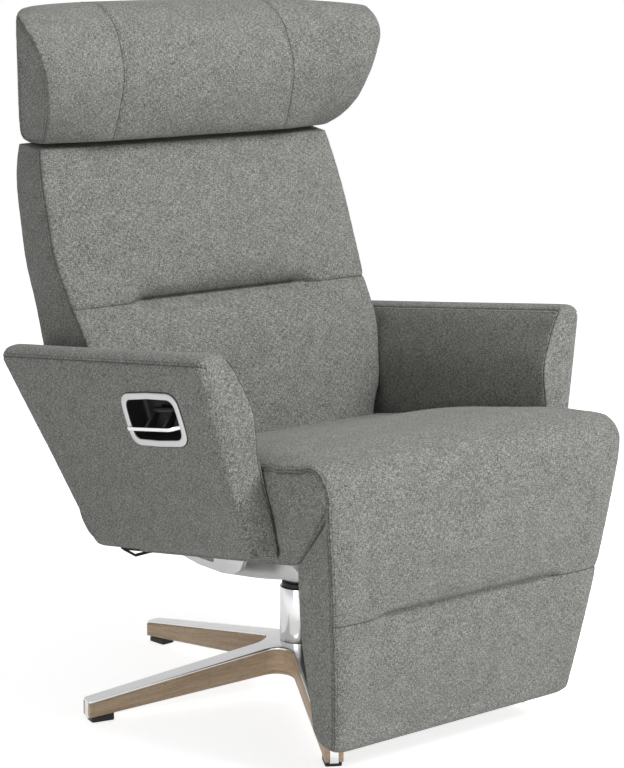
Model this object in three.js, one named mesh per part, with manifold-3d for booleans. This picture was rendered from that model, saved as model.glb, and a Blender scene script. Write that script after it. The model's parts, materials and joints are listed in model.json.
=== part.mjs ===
// Star base swivel recliner with a folding footrest and a winged headrest.
// Millimetres, +Z up, the sitter faces -Y. The origin is on the floor under the middle of the chair.
import * as THREE from 'three';
import { mergeVertices } from 'three/addons/utils/BufferGeometryUtils.js';
import Module from 'manifold-3d';

const wasm = await Module();
wasm.setup();

// Fits shared by every piece
const fitGap = 0.3;
const backClearance = 1.5;
const cutOverrun = 2;
const seamLip = 8;
const cornerSteps = 4;
const fullTurn = 2 * Math.PI;
const degrees = THREE.MathUtils.degToRad;

// Swivel axis, behind the middle of the chair's footprint
const swivelSetback = 22;

// Star base: a casting with wooden lamellas bent between its legs
const star = {
  legs: 5,
  firstLegAngle: degrees(95.5),
  reach: 374,
  halfWidth: 20.5,
  tipHalfWidth: 14,
  cornerRadius: 35,
  cornerSteps: 6,
  tipRadius: 5,
  tipSteps: 3,
  hubTop: 85,
  hubFlat: 44,
  tipTop: 35,
  hubUnderside: 43,
  tipUnderside: 6.5,
  capThickness: 3,
  envelopeSides: 45,
};
const lamella = { thickness: 7, shadowGap: 1.2, lift: 1.5, endInset: 0.8 };
const glide = { length: 38, width: 26, inset: 5, cornerRadius: 5, cornerSteps: 3 };

// Column: polished tube on the hub's spigot, with a spindle turning in two bushes
const column = { radius: 33.5, wall: 4, height: 90, sides: 28, spigotHeight: 40 };
const columnTop = star.hubTop + column.height;
const spindle = { radius: 18, aboveColumn: 45, sides: 20 };
const spindleTop = columnTop + spindle.aboveColumn;
const thrustWasher = { height: 6, innerRadius: 9, outerRadius: 24 };
const bush = { lowerHeight: 14, upperHeight: 22, flangeHeight: 7, flangeInset: 3.5 };

// Seat plane: its underside rises to the front from this height over the column
const seat = {
  tilt: degrees(9),
  aboveColumn: 99,
  thickness: 150,
  halfWidthTop: 291,
  sideTaper: 19,
  armRecess: 12,
  notchAhead: 6,
  crown: 24,
  crownRise: 48,
  crownFall: 360,
  sideDraw: 3,
  stations: 14,
};
const seatUnderside = columnTop + seat.aboveColumn;
const roll = { radius: 46, ahead: 412, height: 108, steps: 12, lowerEdgeBehind: 67 };
const seatHalfLow = seat.halfWidthTop - seat.sideTaper;
const lowerEdge = roll.ahead - roll.lowerEdgeBehind;
const seatCrownPower = 8;
const topSpacingPower = 1.3;

// Backrest: hinged on an axis low behind the seat
const backHinge = { behindColumn: 195, aboveUnderside: 55, radius: 75 };
const backPivot = {
  y: backHinge.behindColumn, z: seatUnderside + backHinge.aboveUnderside, radius: backHinge.radius,
};
const back = {
  height: 549,
  rearReach: 75,
  frontLean: 168,
  rearLean: 98,
  widerThanSeat: 15,
  seamRadius: 10,
  crown: 20,
  channelDepth: 22,
  channelSpread: 26,
  channelHalfLength: 165,
  sideDraw: 3,
  levels: 21,
  hingeSteps: 5,
  acrossPoints: 10,
  rearPoints: 4,
};
const backHalfWidth = seat.halfWidthTop + back.widerThanSeat;
// Height share, then the share of the lean or of the width
const backFrontShares = [
  [0, 0], [0.14, 0.024], [0.235, 0.06], [0.328, 0.125], [0.435, 0.22], [0.483, 0.304],
  [0.55, 0.429], [0.674, 0.643], [0.816, 0.81], [0.969, 1], [1, 1.08],
];
const backRearShares = [[0, 0], [0.19, 0.2], [0.43, 0.42], [0.73, 0.75], [0.969, 1], [1, 0.93]];
const backWidthShares = [
  [0, 0.872], [0.17, 0.872], [0.245, 0.922], [0.3, 0.935], [0.41, 0.96], [0.55, 0.978],
  [0.674, 1], [0.816, 0.993], [0.969, 0.964], [1, 0.93],
];
const backChannelShare = 0.555;
const backCrownStartShare = 0.1;
const lowerCrownShare = 0.7;
const seamSideShare = 0.4;

// Headrest: a wide pillow whose wings turn forward and widen to the top
const head = {
  gap: 8,
  height: 221,
  widerThanBack: 46,
  frontForward: 103,
  frontBehindPivot: 37,
  depth: 156,
  rearLean: 22,
  endRound: 26,
  wingDrop: 14,
  innerSeam: 172,
  endInset: 9,
  endDepth: 6,
  stations: 16,
};
const headHalfWidth = backHalfWidth + head.widerThanBack;
const headFront = backPivot.y + head.frontBehindPivot;
// The slant behind each wing passes through this place and falls back this much for each step inwards
const wingCut = { fromEnd: 12, behindFront: 52, slopeShare: 1.65 };
const wingDropPower = 4;
// Height share, then how far the front lies behind its foremost line as a share of frontForward
const headFrontShares = [
  [0, 0.3], [0.05, 0.26], [0.265, 0.1], [0.48, 0], [0.65, 0.08], [0.875, 0.345], [1, 0.7],
];
const headWidthShares = [
  [0, 0.815], [0.07, 0.852], [0.2, 0.886], [0.4, 0.92], [0.63, 0.957], [0.82, 0.994], [0.95, 1.006], [1, 1],
];
const headWingShares = [
  [0, 0.58], [0.067, 0.38], [0.2, 0.087], [0.4, -0.126], [0.63, -0.223], [0.825, -0.146], [0.9, -0.02], [1, 0.22],
];
// Places round the section: height share and depth share
const headSectionShares = [
  [0.03, 0], [0.1, 0], [0.2, 0], [0.32, 0], [0.44, 0], [0.56, 0], [0.68, 0], [0.8, 0], [0.9, 0], [0.96, 0.02],
  [0.995, 0.14], [1, 0.4], [1, 0.7], [0.975, 0.94], [0.9, 1], [0.7, 1], [0.45, 1], [0.2, 1], [0.06, 0.98],
  [0.01, 0.85], [0, 0.55], [0, 0.25], [0.008, 0.06],
];

// Arms: parallelograms seen from the side, flared outwards to the top.
// Their heights count from the seat's underside over the column.
const arm = {
  overlap: 10,
  innerFlare: 8,
  topInnerFlare: 48,
  outerTopFlare: 101,
  outerLowFlare: 35,
  frontBottom: { ahead: 283, above: 58 },
  frontTop: { ahead: 250, above: 345 },
  rearBottom: { behind: 116, below: 6 },
  rearTop: { behind: 286, above: 283 },
  innerTopRadius: 27,
  crown: 15,
  lowRadius: 14,
  seamRadius: 4,
  endInset: 5,
  endDepth: 4,
  stations: 10,
};
const armInner = seat.halfWidthTop - arm.overlap;
const armOuterTop = armInner + arm.outerTopFlare;
const armOuterLow = armInner + arm.outerLowFlare;
const armTopInner = armInner + arm.topInnerFlare;
const armCorner = {
  frontBottom: { y: -arm.frontBottom.ahead, z: seatUnderside + arm.frontBottom.above },
  frontTop: { y: -arm.frontTop.ahead, z: seatUnderside + arm.frontTop.above },
  rearBottom: { y: arm.rearBottom.behind, z: seatUnderside - arm.rearBottom.below },
  rearTop: { y: arm.rearTop.behind, z: seatUnderside + arm.rearTop.above },
};
const armShoulderShare = 0.72;
const cupShare = 0.7;
const armRearShares = [[0, 0], [0.05, 0], [0.23, 0.09], [0.52, 0.39], [0.8, 0.73], [1, 1]];
const armPanel = {
  thickness: 14, lowLift: 16, height: 210, frontBehindArm: 51, rearBehind: 96, rearSlant: 60, openingHeight: 96,
};

// Footrest: folds about the middle of the seat's front roll
const foot = {
  topBelowPivot: 19,
  bottom: 44,
  frontFromPivot: 44.5,
  narrowerThanSeat: 3,
  taper: 53,
  sideDraw: 2,
  undercut: 51,
  bow: 5,
  thickness: 73,
  thicknessLow: 44,
  toeRadius: 16,
  crown: 6,
  channelDepth: 11,
  channelSpread: 16,
  channelHalfLength: 168,
  stations: 12,
  frontSteps: 18,
  rearSteps: 8,
};
const footHalfTop = seat.halfWidthTop - foot.narrowerThanSeat;
const footHalfLow = footHalfTop - foot.taper;
const footChannelShare = 0.54;
const toeShares = { near: 0.2, middle: 0.6, far: 0.5 };
const footboard = { thickness: 12, behindFront: 15, belowTop: 40, aboveBottom: 34, sideMargin: 31 };

// Seat frame, in the seat's own tilted directions
const rail = {
  insideSeat: 33, width: 22, foot: 2, height: 30, frontBehindRoll: 112, rearAheadOfPivot: 91,
};
const railOuter = seat.halfWidthTop - rail.insideSeat;
const railInner = railOuter - rail.width;
const railFront = roll.ahead - rail.frontBehindRoll;
const railRear = backPivot.y - rail.rearAheadOfPivot;
const railTop = rail.foot + rail.height;
const crossRail = { depth: 40, height: 20, front: -95, rear: 45 };
const frontTube = { radius: 12, sides: 16 };
const gooseneck = { thickness: 6, width: 26, tipShare: 0.5 };
const recliningEar = { outsideRail: 12, thickness: 6, radius: 20, reach: 42, arcSteps: 8, arcEnd: degrees(144) };
const earInner = railOuter + recliningEar.outsideRail;
const earFoot = railRear - recliningEar.reach;
const outrigger = { depth: 30, flangeThickness: 4, flangeHeight: 46, lift: 18, behindArmFront: 93, rear: 10 };
const outriggerPlaces = [armCorner.frontBottom.y + outrigger.behindArmFront, outrigger.rear];
const strap = { count: 4, width: 52, thickness: 2.5, firstBehindRoll: 144, pitch: 88 };
const bolt = { radius: 4, headRadius: 7, headHeight: 4, sides: 10 };
const footHinge = {
  plateThickness: 3, outsideRail: 4, eyeRadius: 15, eyeSides: 20, plateDrop: 88, flangeReach: 34, slotMargin: 3,
};
const hingePlateInner = railOuter + footHinge.outsideRail;
const hingePlateOuter = hingePlateInner + footHinge.plateThickness;
const slotShares = { rear: 0.5, front: 1.4 };
const pivotPin = { radius: 6, headRadius: 10, headHeight: 5, engagement: 20, sides: 16 };

// Mechanism bracket: a casting from the spindle up to the seat frame
const bracket = {
  socketRadius: 30,
  socketLift: 8,
  socketHeight: 55,
  armHalfDepth: 30,
  armLift: 11,
  plateInsideRail: 50,
  plateThickness: 9,
  plateFront: -112,
  plateRear: 80,
  plateDrop: 30,
  barThickness: 8,
  barInsideRail: 22,
  boltInsideRail: 30,
  padInsideRail: 86,
  ribThickness: 7,
  ribOffset: 21,
};
const socketFoot = columnTop + bracket.socketLift;
const socketTop = socketFoot + bracket.socketHeight;
const bracketArmFoot = socketFoot + bracket.armLift;
const plateInner = railInner - bracket.plateInsideRail;
const plateOuter = plateInner + bracket.plateThickness;
// How far along its arm the bracket bends below and above, and where its plates and ribs are cut off
const bracketShares = {
  armLow: 0.5, armRise: 0.3, armHigh: 0.55, plateFront: 0.8, plateRear: 0.4, rib: 0.6, ribEnd: 0.5,
};

// Backrest frame and the headrest's guides, bars leaning with the back
const backFrame = { tubeRadius: 10, tubeSides: 12, tubeInsideEar: 35, insideEar: 20 };
const backEarX = earInner - backFrame.insideEar;
const backTubeX = backEarX - backFrame.tubeInsideEar;
const highBarShare = 0.83;
const middleBarShare = 0.45;
const guideTopShare = 0.93;
const barSlopeShare = 0.235;
const guide = { x: 62, outerRadius: 10.5, length: 122, sides: 16, blockHalf: 15, clearBelow: 33 };
const post = { radius: 6, sides: 16, lengthBelow: 110, shaftRadius: 7, shaftHalf: 92 };
const headHinge = { ahead: 38, travel: degrees(15), earRadius: 13, earInner: 78, earWidth: 10 };
const headHingeShare = 0.24;
const headPlate = { thickness: 8, halfWidth: 150, above: 120, below: 20, behindHinge: 50 };

// Gas spring between the seat frame and the backrest's lower lever
const gas = {
  x: 96, radius: 11, wall: 3, floor: 12, front: 36, length: 92, rodRadius: 5, rodInside: 14, forkHalf: 13, sides: 20,
  leverDrop: 82, leverThickness: 8, leverMargin: 3, pinRadius: 5, pinSides: 14, slotHeight: 26, slotGap: 1.4,
  forkWall: 10, cheekWall: 3,
};
const gasClipShares = { front: 0.05, rear: 0.32, height: 0.25 };

// Release lever in its cup on the sitter's right arm
const cup = {
  aheadOfColumn: 115,
  aboveUnderside: 244,
  length: 143,
  tall: 80,
  turn: degrees(8.8),
  cornerRadius: 18,
  rimWidth: 10,
  rimProud: 2.5,
  wall: 2.5,
  depth: 36,
};
const cupHeight = seatUnderside + cup.aboveUnderside;
const lever = {
  rearReach: 69,
  frontReach: 42,
  hookReach: 54,
  hookDepth: 14,
  barHeight: 5.5,
  barThickness: 4,
  barClear: 1,
  barBelow: 16,
  armWidth: 7,
  armSpan: 46,
  armRadius: 5,
  pinRadius: 2.5,
  pinBehind: 24,
  pinAbove: 6,
  earThickness: 3,
};
// The cable's own sizes, then how far its route stands off what it passes
const cable = { radius: 2.5, sides: 6, steps: 28, sheathGap: 1, fromFloor: 9, under: 7.5 };
const cableRoom = {
  cupExit: 10, panel: 7.5, forward: 30, inArm: 60, beforeFrame: 10, aboveFrame: 48, underArm: 6, lowRise: 15,
  railEnd: 15, clampLead: 30, clampInset: 6,
};
const cableShares = { down: 0.7, lower: 0.65, across: 0.4 };

// Finishes
const finish = (color, roughness, metalness) => new THREE.MeshStandardMaterial({ color, roughness, metalness });
const finishes = {
  wool: finish(0x7b7c77, 0.95, 0),
  oak: finish(0xc5aa92, 0.55, 0),
  polished: finish(0xd9dadb, 0.12, 1),
  satin: finish(0xb9babb, 0.38, 1),
  steel: finish(0x8c8f92, 0.45, 1),
  black: finish(0x161616, 0.5, 0),
  plywood: finish(0xb99b6f, 0.7, 0),
  webbing: finish(0x3a3a3a, 0.9, 0),
};

// The chair hangs on the swivel axis, so every piece is written from there
const chair = new THREE.Group();
chair.position.y = swivelSetback;

function add(name, geometry, material) {
  const mesh = new THREE.Mesh(geometry, material);
  mesh.name = name;
  chair.add(mesh);
}

// Solids and booleans

function solid(geometry) {
  const plain = geometry.clone();
  plain.deleteAttribute('normal');
  plain.deleteAttribute('uv');
  const merged = mergeVertices(plain);
  return new wasm.Manifold(new wasm.Mesh({
    numProp: 3,
    vertProperties: Float32Array.from(merged.attributes.position.array),
    triVerts: Uint32Array.from(merged.index.array),
  }));
}

function geometryOf(manifold) {
  const mesh = manifold.getMesh();
  const geometry = new THREE.BufferGeometry();
  geometry.setAttribute('position', new THREE.BufferAttribute(mesh.vertProperties, mesh.numProp));
  geometry.setIndex(new THREE.BufferAttribute(mesh.triVerts, 1));
  return geometry;
}

const union = (solids) => solids.reduce((all, next) => all.add(next));
const cut = (body, tools) => tools.reduce((left, tool) => left.subtract(tool), body);

// Basic forms, all given by where they end

function block(x, y, z) {
  const box = new THREE.BoxGeometry(x[1] - x[0], y[1] - y[0], z[1] - z[0]);
  return box.translate((x[0] + x[1]) / 2, (y[0] + y[1]) / 2, (z[0] + z[1]) / 2);
}

function rod(radius, from, to, sides) {
  const axis = new THREE.Vector3().subVectors(to, from);
  const bar = new THREE.CylinderGeometry(radius, radius, axis.length(), sides);
  bar.translate(0, axis.length() / 2, 0);
  const turn = new THREE.Quaternion().setFromUnitVectors(new THREE.Vector3(0, 1, 0), axis.normalize());
  return bar.applyQuaternion(turn).translate(from.x, from.y, from.z);
}

const crossRod = (radius, x, at, sides) =>
  rod(radius, new THREE.Vector3(x[0], at.y, at.z), new THREE.Vector3(x[1], at.y, at.z), sides);

// A profile of radius and height pairs turned about the Z axis
function turned(points, sides) {
  const profile = points.map(([radius, height]) => new THREE.Vector2(radius, height));
  return new THREE.LatheGeometry(profile, sides).rotateX(Math.PI / 2);
}

const ring = (inner, outer, low, high, sides) =>
  turned([[inner, low], [outer, low], [outer, high], [inner, high], [inner, low]], sides);

// A side view of y and z points, given a thickness along X
function sidePlate(points, x) {
  const shape = new THREE.Shape(points.map((point) => new THREE.Vector2(point.y, point.z)));
  const plate = new THREE.ExtrudeGeometry(shape, { depth: x[1] - x[0], bevelEnabled: false });
  plate.applyMatrix4(new THREE.Matrix4().set(0, 0, 1, x[0], 1, 0, 0, 0, 0, 1, 0, 0, 0, 0, 0, 1));
  return plate;
}

// A front view of x and z points, given a thickness along Y
function frontPlate(points, y) {
  const shape = new THREE.Shape(points.map((point) => new THREE.Vector2(point.x, point.z)));
  const plate = new THREE.ExtrudeGeometry(shape, { depth: y[1] - y[0], bevelEnabled: false });
  return plate.rotateX(Math.PI / 2).translate(0, y[1], 0);
}

// A plan of x and y points, given a height
function plan(points, z) {
  const shape = new THREE.Shape(points.map((point) => new THREE.Vector2(point.x, point.y)));
  return new THREE.ExtrudeGeometry(shape, { depth: z[1] - z[0], bevelEnabled: false }).translate(0, 0, z[0]);
}

// Skins closed rings of equal length into one body with crowned ends
function loft(rings) {
  const count = rings[0].length;
  const points = rings.flat();
  const index = [];
  for (let level = 0; level < rings.length - 1; level += 1) {
    for (let i = 0; i < count; i += 1) {
      const a = level * count + i;
      const b = level * count + (i + 1) % count;
      index.push(a, b, b + count, a, b + count, a + count);
    }
  }
  const close = (start, outwards) => {
    const centre = new THREE.Vector3();
    for (let i = 0; i < count; i += 1) {
      centre.addScaledVector(points[start + i], 1 / count);
    }
    points.push(centre);
    for (let i = 0; i < count; i += 1) {
      const pair = [start + i, start + (i + 1) % count];
      index.push(...(outwards ? pair : pair.reverse()), points.length - 1);
    }
  };
  close((rings.length - 1) * count, true);
  close(0, false);
  const geometry = new THREE.BufferGeometry().setFromPoints(points);
  geometry.setIndex(volumeOf(points, index) < 0 ? index.reverse() : index);
  return geometry;
}

function volumeOf(points, index) {
  let volume = 0;
  for (let i = 0; i < index.length; i += 3) {
    const [a, b, c] = [points[index[i]], points[index[i + 1]], points[index[i + 2]]];
    volume += a.dot(new THREE.Vector3().crossVectors(b, c)) / 6;
  }
  return volume;
}

// Rounds the corners of a closed outline; each point holds its own corner radius
function rounded(points, steps) {
  const outline = [];
  points.forEach((corner, i) => {
    const before = points[(i + points.length - 1) % points.length];
    const after = points[(i + 1) % points.length];
    const radius = corner.radius ?? 0;
    if (radius === 0) {
      outline.push(new THREE.Vector2(corner.x, corner.y));
      return;
    }
    const start = towards(corner, before, radius);
    const end = towards(corner, after, radius);
    const curve = new THREE.QuadraticBezierCurve(start, new THREE.Vector2(corner.x, corner.y), end);
    outline.push(...curve.getPoints(steps));
  });
  return outline;
}

function towards(from, to, distance) {
  const step = new THREE.Vector2(to.x - from.x, to.y - from.y);
  const reach = Math.min(distance, step.length() / 2);
  return step.setLength(reach).add(new THREE.Vector2(from.x, from.y));
}

// Reads a table of shares, each row a place and a value
function sample(table, place) {
  const last = table.length - 1;
  if (place <= table[0][0]) return table[0][1];
  if (place >= table[last][0]) return table[last][1];
  const next = table.findIndex((row) => row[0] >= place);
  const [a, b] = [table[next - 1], table[next]];
  return THREE.MathUtils.lerp(a[1], b[1], (place - a[0]) / (b[0] - a[0]));
}

const lerp = THREE.MathUtils.lerp;
const smooth = (value, from, to) => THREE.MathUtils.smoothstep(value, from, to);
const bell = (distance, spread) => Math.exp(-((distance / spread) ** 2));
const sides = [['right', -1], ['left', 1]];
const spanX = (side, near, far) => (side < 0 ? [-far, -near] : [near, far]);

// A point given along the seat's tilted directions, from its underside over the swivel axis
function seatAt(along, up) {
  const y = along * Math.cos(seat.tilt) + up * Math.sin(seat.tilt);
  const z = seatUnderside - along * Math.sin(seat.tilt) + up * Math.cos(seat.tilt);
  return { y, z };
}
const seatAlong = (y, up) => (y - up * Math.sin(seat.tilt)) / Math.cos(seat.tilt);

function inSeat(geometry) {
  return geometry.rotateX(-seat.tilt).translate(0, 0, seatUnderside);
}

const footPivot = seatAt(-roll.ahead, roll.height);
const footTop = footPivot.z - foot.topBelowPivot;
const channelHeight = lerp(foot.bottom, footTop, footChannelShare);
const boardTop = footTop - footboard.belowTop;
const boardBottom = foot.bottom + footboard.aboveBottom;
const hingePlateLow = footTop - footHinge.plateDrop;

// Star base

const legAngle = (leg) => star.firstLegAngle + (leg * fullTurn) / star.legs;
const halfSector = Math.PI / star.legs;

function alongLeg(angle, along, across) {
  return new THREE.Vector2(
    Math.cos(angle) * along - Math.sin(angle) * across,
    Math.sin(angle) * along + Math.cos(angle) * across,
  );
}

// Each leg's side runs slightly towards its axis; a side lies this far from the axis at a place along it
const legTaper = Math.atan2(star.halfWidth - star.tipHalfWidth, star.reach);
const sideAt = (along, inset) => star.halfWidth - inset - along * Math.tan(legTaper);

// The fillet between a leg and the next one, an arc round the centre they share
function innerCorner(leg, inset) {
  const bisector = legAngle(leg) + halfSector;
  const opening = halfSector + legTaper;
  const radius = star.cornerRadius + inset;
  const offset = (star.halfWidth - inset) * Math.cos(legTaper);
  const centre = alongLeg(bisector, (offset + radius) / Math.sin(opening), 0);
  const halfArc = Math.PI / 2 - opening;
  return Array.from({ length: star.cornerSteps + 1 }, (_, step) => {
    const angle = bisector + Math.PI + lerp(halfArc, -halfArc, step / star.cornerSteps);
    return alongLeg(angle, radius, 0).add(centre);
  });
}

function starOutline(inset, reach, tipRadius) {
  const outline = [];
  for (let leg = 0; leg < star.legs; leg += 1) {
    const angle = legAngle(leg);
    for (const turn of [-1, 1]) {
      for (let step = 0; step <= star.tipSteps; step += 1) {
        const share = turn < 0 ? 1 - step / star.tipSteps : step / star.tipSteps;
        const bend = (share * Math.PI) / 2;
        const along = reach - tipRadius * (1 - Math.cos(bend));
        outline.push(alongLeg(angle, along, turn * (sideAt(reach, inset) - tipRadius * (1 - Math.sin(bend)))));
      }
    }
    outline.push(...innerCorner(leg, inset));
  }
  return outline;
}

const topAt = (radius) =>
  lerp(star.hubTop, star.tipTop, Math.max(radius - star.hubFlat, 0) / (star.reach - star.hubFlat));
const undersideAt = (radius) => lerp(star.hubUnderside, star.tipUnderside, radius / star.reach);

// The space between the sloping underside and the sloping top, less what is taken off either
function slopingEnvelope(lift, drop) {
  const far = star.reach + star.halfWidth;
  return solid(turned([
    [0, undersideAt(0) + lift], [far, undersideAt(far) + lift], [far, topAt(far) - drop],
    [star.hubFlat, topAt(star.hubFlat) - drop], [0, topAt(0) - drop],
  ], star.envelopeSides));
}

const baseHeight = [0, star.hubTop + cutOverrun];
const woodReach = star.reach - lamella.endInset;

function buildStar() {
  const cap = solid(plan(starOutline(0, star.reach, star.tipRadius), baseHeight));
  const core = solid(plan(starOutline(lamella.thickness + fitGap, star.reach, lamella.endInset), baseHeight));
  const whole = slopingEnvelope(0, 0);
  const capSkin = cap.intersect(whole).subtract(slopingEnvelope(-cutOverrun, star.capThickness));
  const spigotRadius = column.radius - column.wall - fitGap;
  const spigot = solid(turned([
    [0, undersideAt(0)], [spigotRadius, undersideAt(0)],
    [spigotRadius, star.hubTop + column.spigotHeight], [0, star.hubTop + column.spigotHeight],
  ], column.sides));
  return union([core.intersect(whole), capSkin, spigot]);
}

add('star_base', geometryOf(buildStar()), finishes.polished);

function lamellaPlan(leg) {
  const near = legAngle(leg);
  const far = legAngle(leg + 1);
  const outer = sideAt(woodReach, 0);
  const inner = sideAt(woodReach, lamella.thickness);
  return [
    alongLeg(near, woodReach - star.tipRadius, outer),
    ...innerCorner(leg, 0),
    alongLeg(far, woodReach - star.tipRadius, -outer),
    alongLeg(far, woodReach, star.tipRadius / 2 - outer),
    alongLeg(far, woodReach, -inner),
    ...innerCorner(leg, lamella.thickness).reverse(),
    alongLeg(near, woodReach, inner),
    alongLeg(near, woodReach, outer - star.tipRadius / 2),
  ];
}

const woodEnvelope = slopingEnvelope(lamella.lift, star.capThickness + lamella.shadowGap);
for (let leg = 0; leg < star.legs; leg += 1) {
  const strip = solid(plan(lamellaPlan(leg), baseHeight)).intersect(woodEnvelope);
  add(`lamella_${leg + 1}`, geometryOf(strip), finishes.oak);
}

// A glide is a pad cut off just under the leg
const underLegs = solid(turned([
  [0, 0], [star.reach, 0], [star.reach, undersideAt(star.reach) - fitGap], [0, undersideAt(0) - fitGap],
], star.envelopeSides));
for (let leg = 0; leg < star.legs; leg += 1) {
  const far = star.reach - glide.inset;
  const outline = rounded([
    { x: far - glide.length, y: -glide.width / 2, radius: glide.cornerRadius },
    { x: far, y: -glide.width / 2, radius: glide.cornerRadius },
    { x: far, y: glide.width / 2, radius: glide.cornerRadius },
    { x: far - glide.length, y: glide.width / 2, radius: glide.cornerRadius },
  ], glide.cornerSteps);
  const pad = solid(plan(outline, baseHeight).rotateZ(legAngle(leg))).intersect(underLegs);
  add(`glide_${leg + 1}`, geometryOf(pad), finishes.black);
}

// Column and swivel bearing

const tubeFoot = star.hubTop + fitGap;
const tubeBore = column.radius - column.wall;
add('column_tube', ring(tubeBore, column.radius, tubeFoot, columnTop, column.sides), finishes.polished);

const spigotTop = star.hubTop + column.spigotHeight;
const washerFoot = spigotTop + fitGap;
const washerTop = washerFoot + thrustWasher.height;
add('thrust_bearing',
  ring(thrustWasher.innerRadius, thrustWasher.outerRadius, washerFoot, washerTop, spindle.sides), finishes.steel);

const spindleFoot = washerTop + fitGap;
const bushBore = spindle.radius + fitGap;
const bushOuter = tubeBore - fitGap;
add('lower_bush',
  ring(bushBore, bushOuter, spindleFoot, spindleFoot + bush.lowerHeight, column.sides), finishes.black);
const flangeFoot = columnTop - bush.upperHeight + bush.flangeHeight;
const flangeTop = columnTop + bush.flangeHeight;
const flangeRadius = column.radius - bush.flangeInset;
add('upper_bush', turned([
  [bushBore, flangeFoot], [bushOuter, flangeFoot], [bushOuter, columnTop + fitGap],
  [flangeRadius, columnTop + fitGap], [flangeRadius, flangeTop], [bushBore, flangeTop], [bushBore, flangeFoot],
], column.sides), finishes.black);
add('spindle', turned([
  [0, spindleFoot], [spindle.radius, spindleFoot], [spindle.radius, spindleTop], [0, spindleTop],
], spindle.sides), finishes.steel);

// Mechanism bracket

const barTop = rail.foot - fitGap;
const barFoot = barTop - bracket.barThickness;

const plateTop = (y) => seatAt(seatAlong(y, barFoot), barFoot).z + bracket.barThickness / 2;
const barDepth = (along) => [along - crossRail.depth / 2, along + crossRail.depth / 2];

// One arm of the bracket, seen from the front
function bracketArm(side) {
  const points = [
    { x: 0, z: bracketArmFoot },
    { x: side * plateInner * bracketShares.armLow, z: lerp(bracketArmFoot, socketTop, bracketShares.armRise) },
    { x: side * plateOuter, z: socketTop },
    { x: side * plateOuter, z: plateTop(bracket.armHalfDepth) },
    { x: side * plateInner * bracketShares.armHigh, z: socketTop },
    { x: 0, z: socketTop },
  ];
  return frontPlate(side < 0 ? points.reverse() : points, [-bracket.armHalfDepth, bracket.armHalfDepth]);
}

function bracketPlate(side) {
  const low = plateTop(0) - bracket.plateDrop;
  return sidePlate([
    { y: bracket.plateFront, z: plateTop(bracket.plateFront) - bracket.barThickness },
    { y: bracket.plateFront * bracketShares.plateFront, z: low },
    { y: bracket.plateRear * bracketShares.plateRear, z: low },
    { y: bracket.plateRear, z: plateTop(bracket.plateRear) - bracket.barThickness },
    { y: bracket.plateRear, z: plateTop(bracket.plateRear) },
    { y: bracket.plateFront, z: plateTop(bracket.plateFront) },
  ], spanX(side, plateInner, plateOuter));
}

function bracketRib(side) {
  return sidePlate([
    { y: -bracket.socketRadius * bracketShares.rib, z: bracketArmFoot },
    { y: crossRail.rear * bracketShares.rib, z: bracketArmFoot },
    { y: crossRail.rear, z: plateTop(crossRail.rear) },
    { y: crossRail.front, z: plateTop(crossRail.front) },
    { y: crossRail.front, z: plateTop(crossRail.front) - bracket.plateDrop * bracketShares.ribEnd },
  ], spanX(side, bracket.ribOffset, bracket.ribOffset + bracket.ribThickness));
}

function buildBracket() {
  const barHalf = railInner - bracket.barInsideRail;
  const pieces = [
    turned([[0, socketFoot], [bracket.socketRadius, socketFoot], [bracket.socketRadius, socketTop], [0, socketTop]],
      column.sides),
    inSeat(block([-barHalf, barHalf], barDepth(crossRail.front), [barFoot, barTop])),
  ];
  for (const [, side] of sides) {
    const padX = spanX(side, railInner - bracket.padInsideRail, barHalf);
    pieces.push(bracketArm(side), bracketPlate(side), bracketRib(side));
    pieces.push(inSeat(block(padX, barDepth(crossRail.rear), [barFoot, barTop])));
  }
  const boreRadius = spindle.radius + fitGap;
  const bore = turned([
    [0, socketFoot - cutOverrun], [boreRadius, socketFoot - cutOverrun],
    [boreRadius, spindleTop + fitGap], [0, spindleTop + fitGap],
  ], spindle.sides);
  return cut(union(pieces.map(solid)), [solid(bore), ...boltHoles(fitGap)]);
}

// Bolts that clamp the bracket's bars under the seat frame
const boltPlaces = [crossRail.front, crossRail.rear].flatMap((along) =>
  sides.map(([, side]) => ({ x: side * (railInner - bracket.boltInsideRail), along })));

function boltSolid(place, gap) {
  const at = (up) => new THREE.Vector3(place.x, place.along, up);
  const headFoot = barFoot - bolt.headHeight;
  const shank = solid(inSeat(rod(bolt.radius + gap, at(headFoot), at(crossRail.height / 2 + gap), bolt.sides)));
  if (gap > 0) return shank;
  const head = rod(bolt.headRadius, at(headFoot - fitGap), at(barFoot - fitGap), bolt.sides);
  return solid(inSeat(head)).add(shank);
}
const boltHoles = (gap) => boltPlaces.map((place) => boltSolid(place, gap));

add('swivel_bracket', geometryOf(buildBracket()), finishes.satin);
boltPlaces.forEach((place, i) => {
  add(`frame_bolt_${i + 1}`, geometryOf(boltSolid(place, 0)), finishes.steel);
});

// Seat frame: rails, cross rails, the front tube on goosenecks, ears for the back and outriggers for the arms

function frameGooseneck(side, gap) {
  const root = seatAt(-railFront, rail.foot + rail.height / 2);
  const half = gooseneck.width / 2 + gap;
  const along = new THREE.Vector2(footPivot.y - root.y, footPivot.z - root.z).normalize();
  const normal = new THREE.Vector2(-along.y, along.x).multiplyScalar(half);
  const foot = { y: root.y - along.x * half, z: root.z - along.y * half };
  const past = half * gooseneck.tipShare;
  const tip = { y: footPivot.y + along.x * past, z: footPivot.z + along.y * past };
  return sidePlate([
    { y: foot.y + normal.x, z: foot.z + normal.y }, { y: foot.y - normal.x, z: foot.z - normal.y },
    { y: tip.y - normal.x, z: tip.z - normal.y }, { y: tip.y + normal.x, z: tip.z + normal.y },
  ], spanX(side, railOuter - gooseneck.thickness - gap, railOuter + gap));
}

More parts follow.
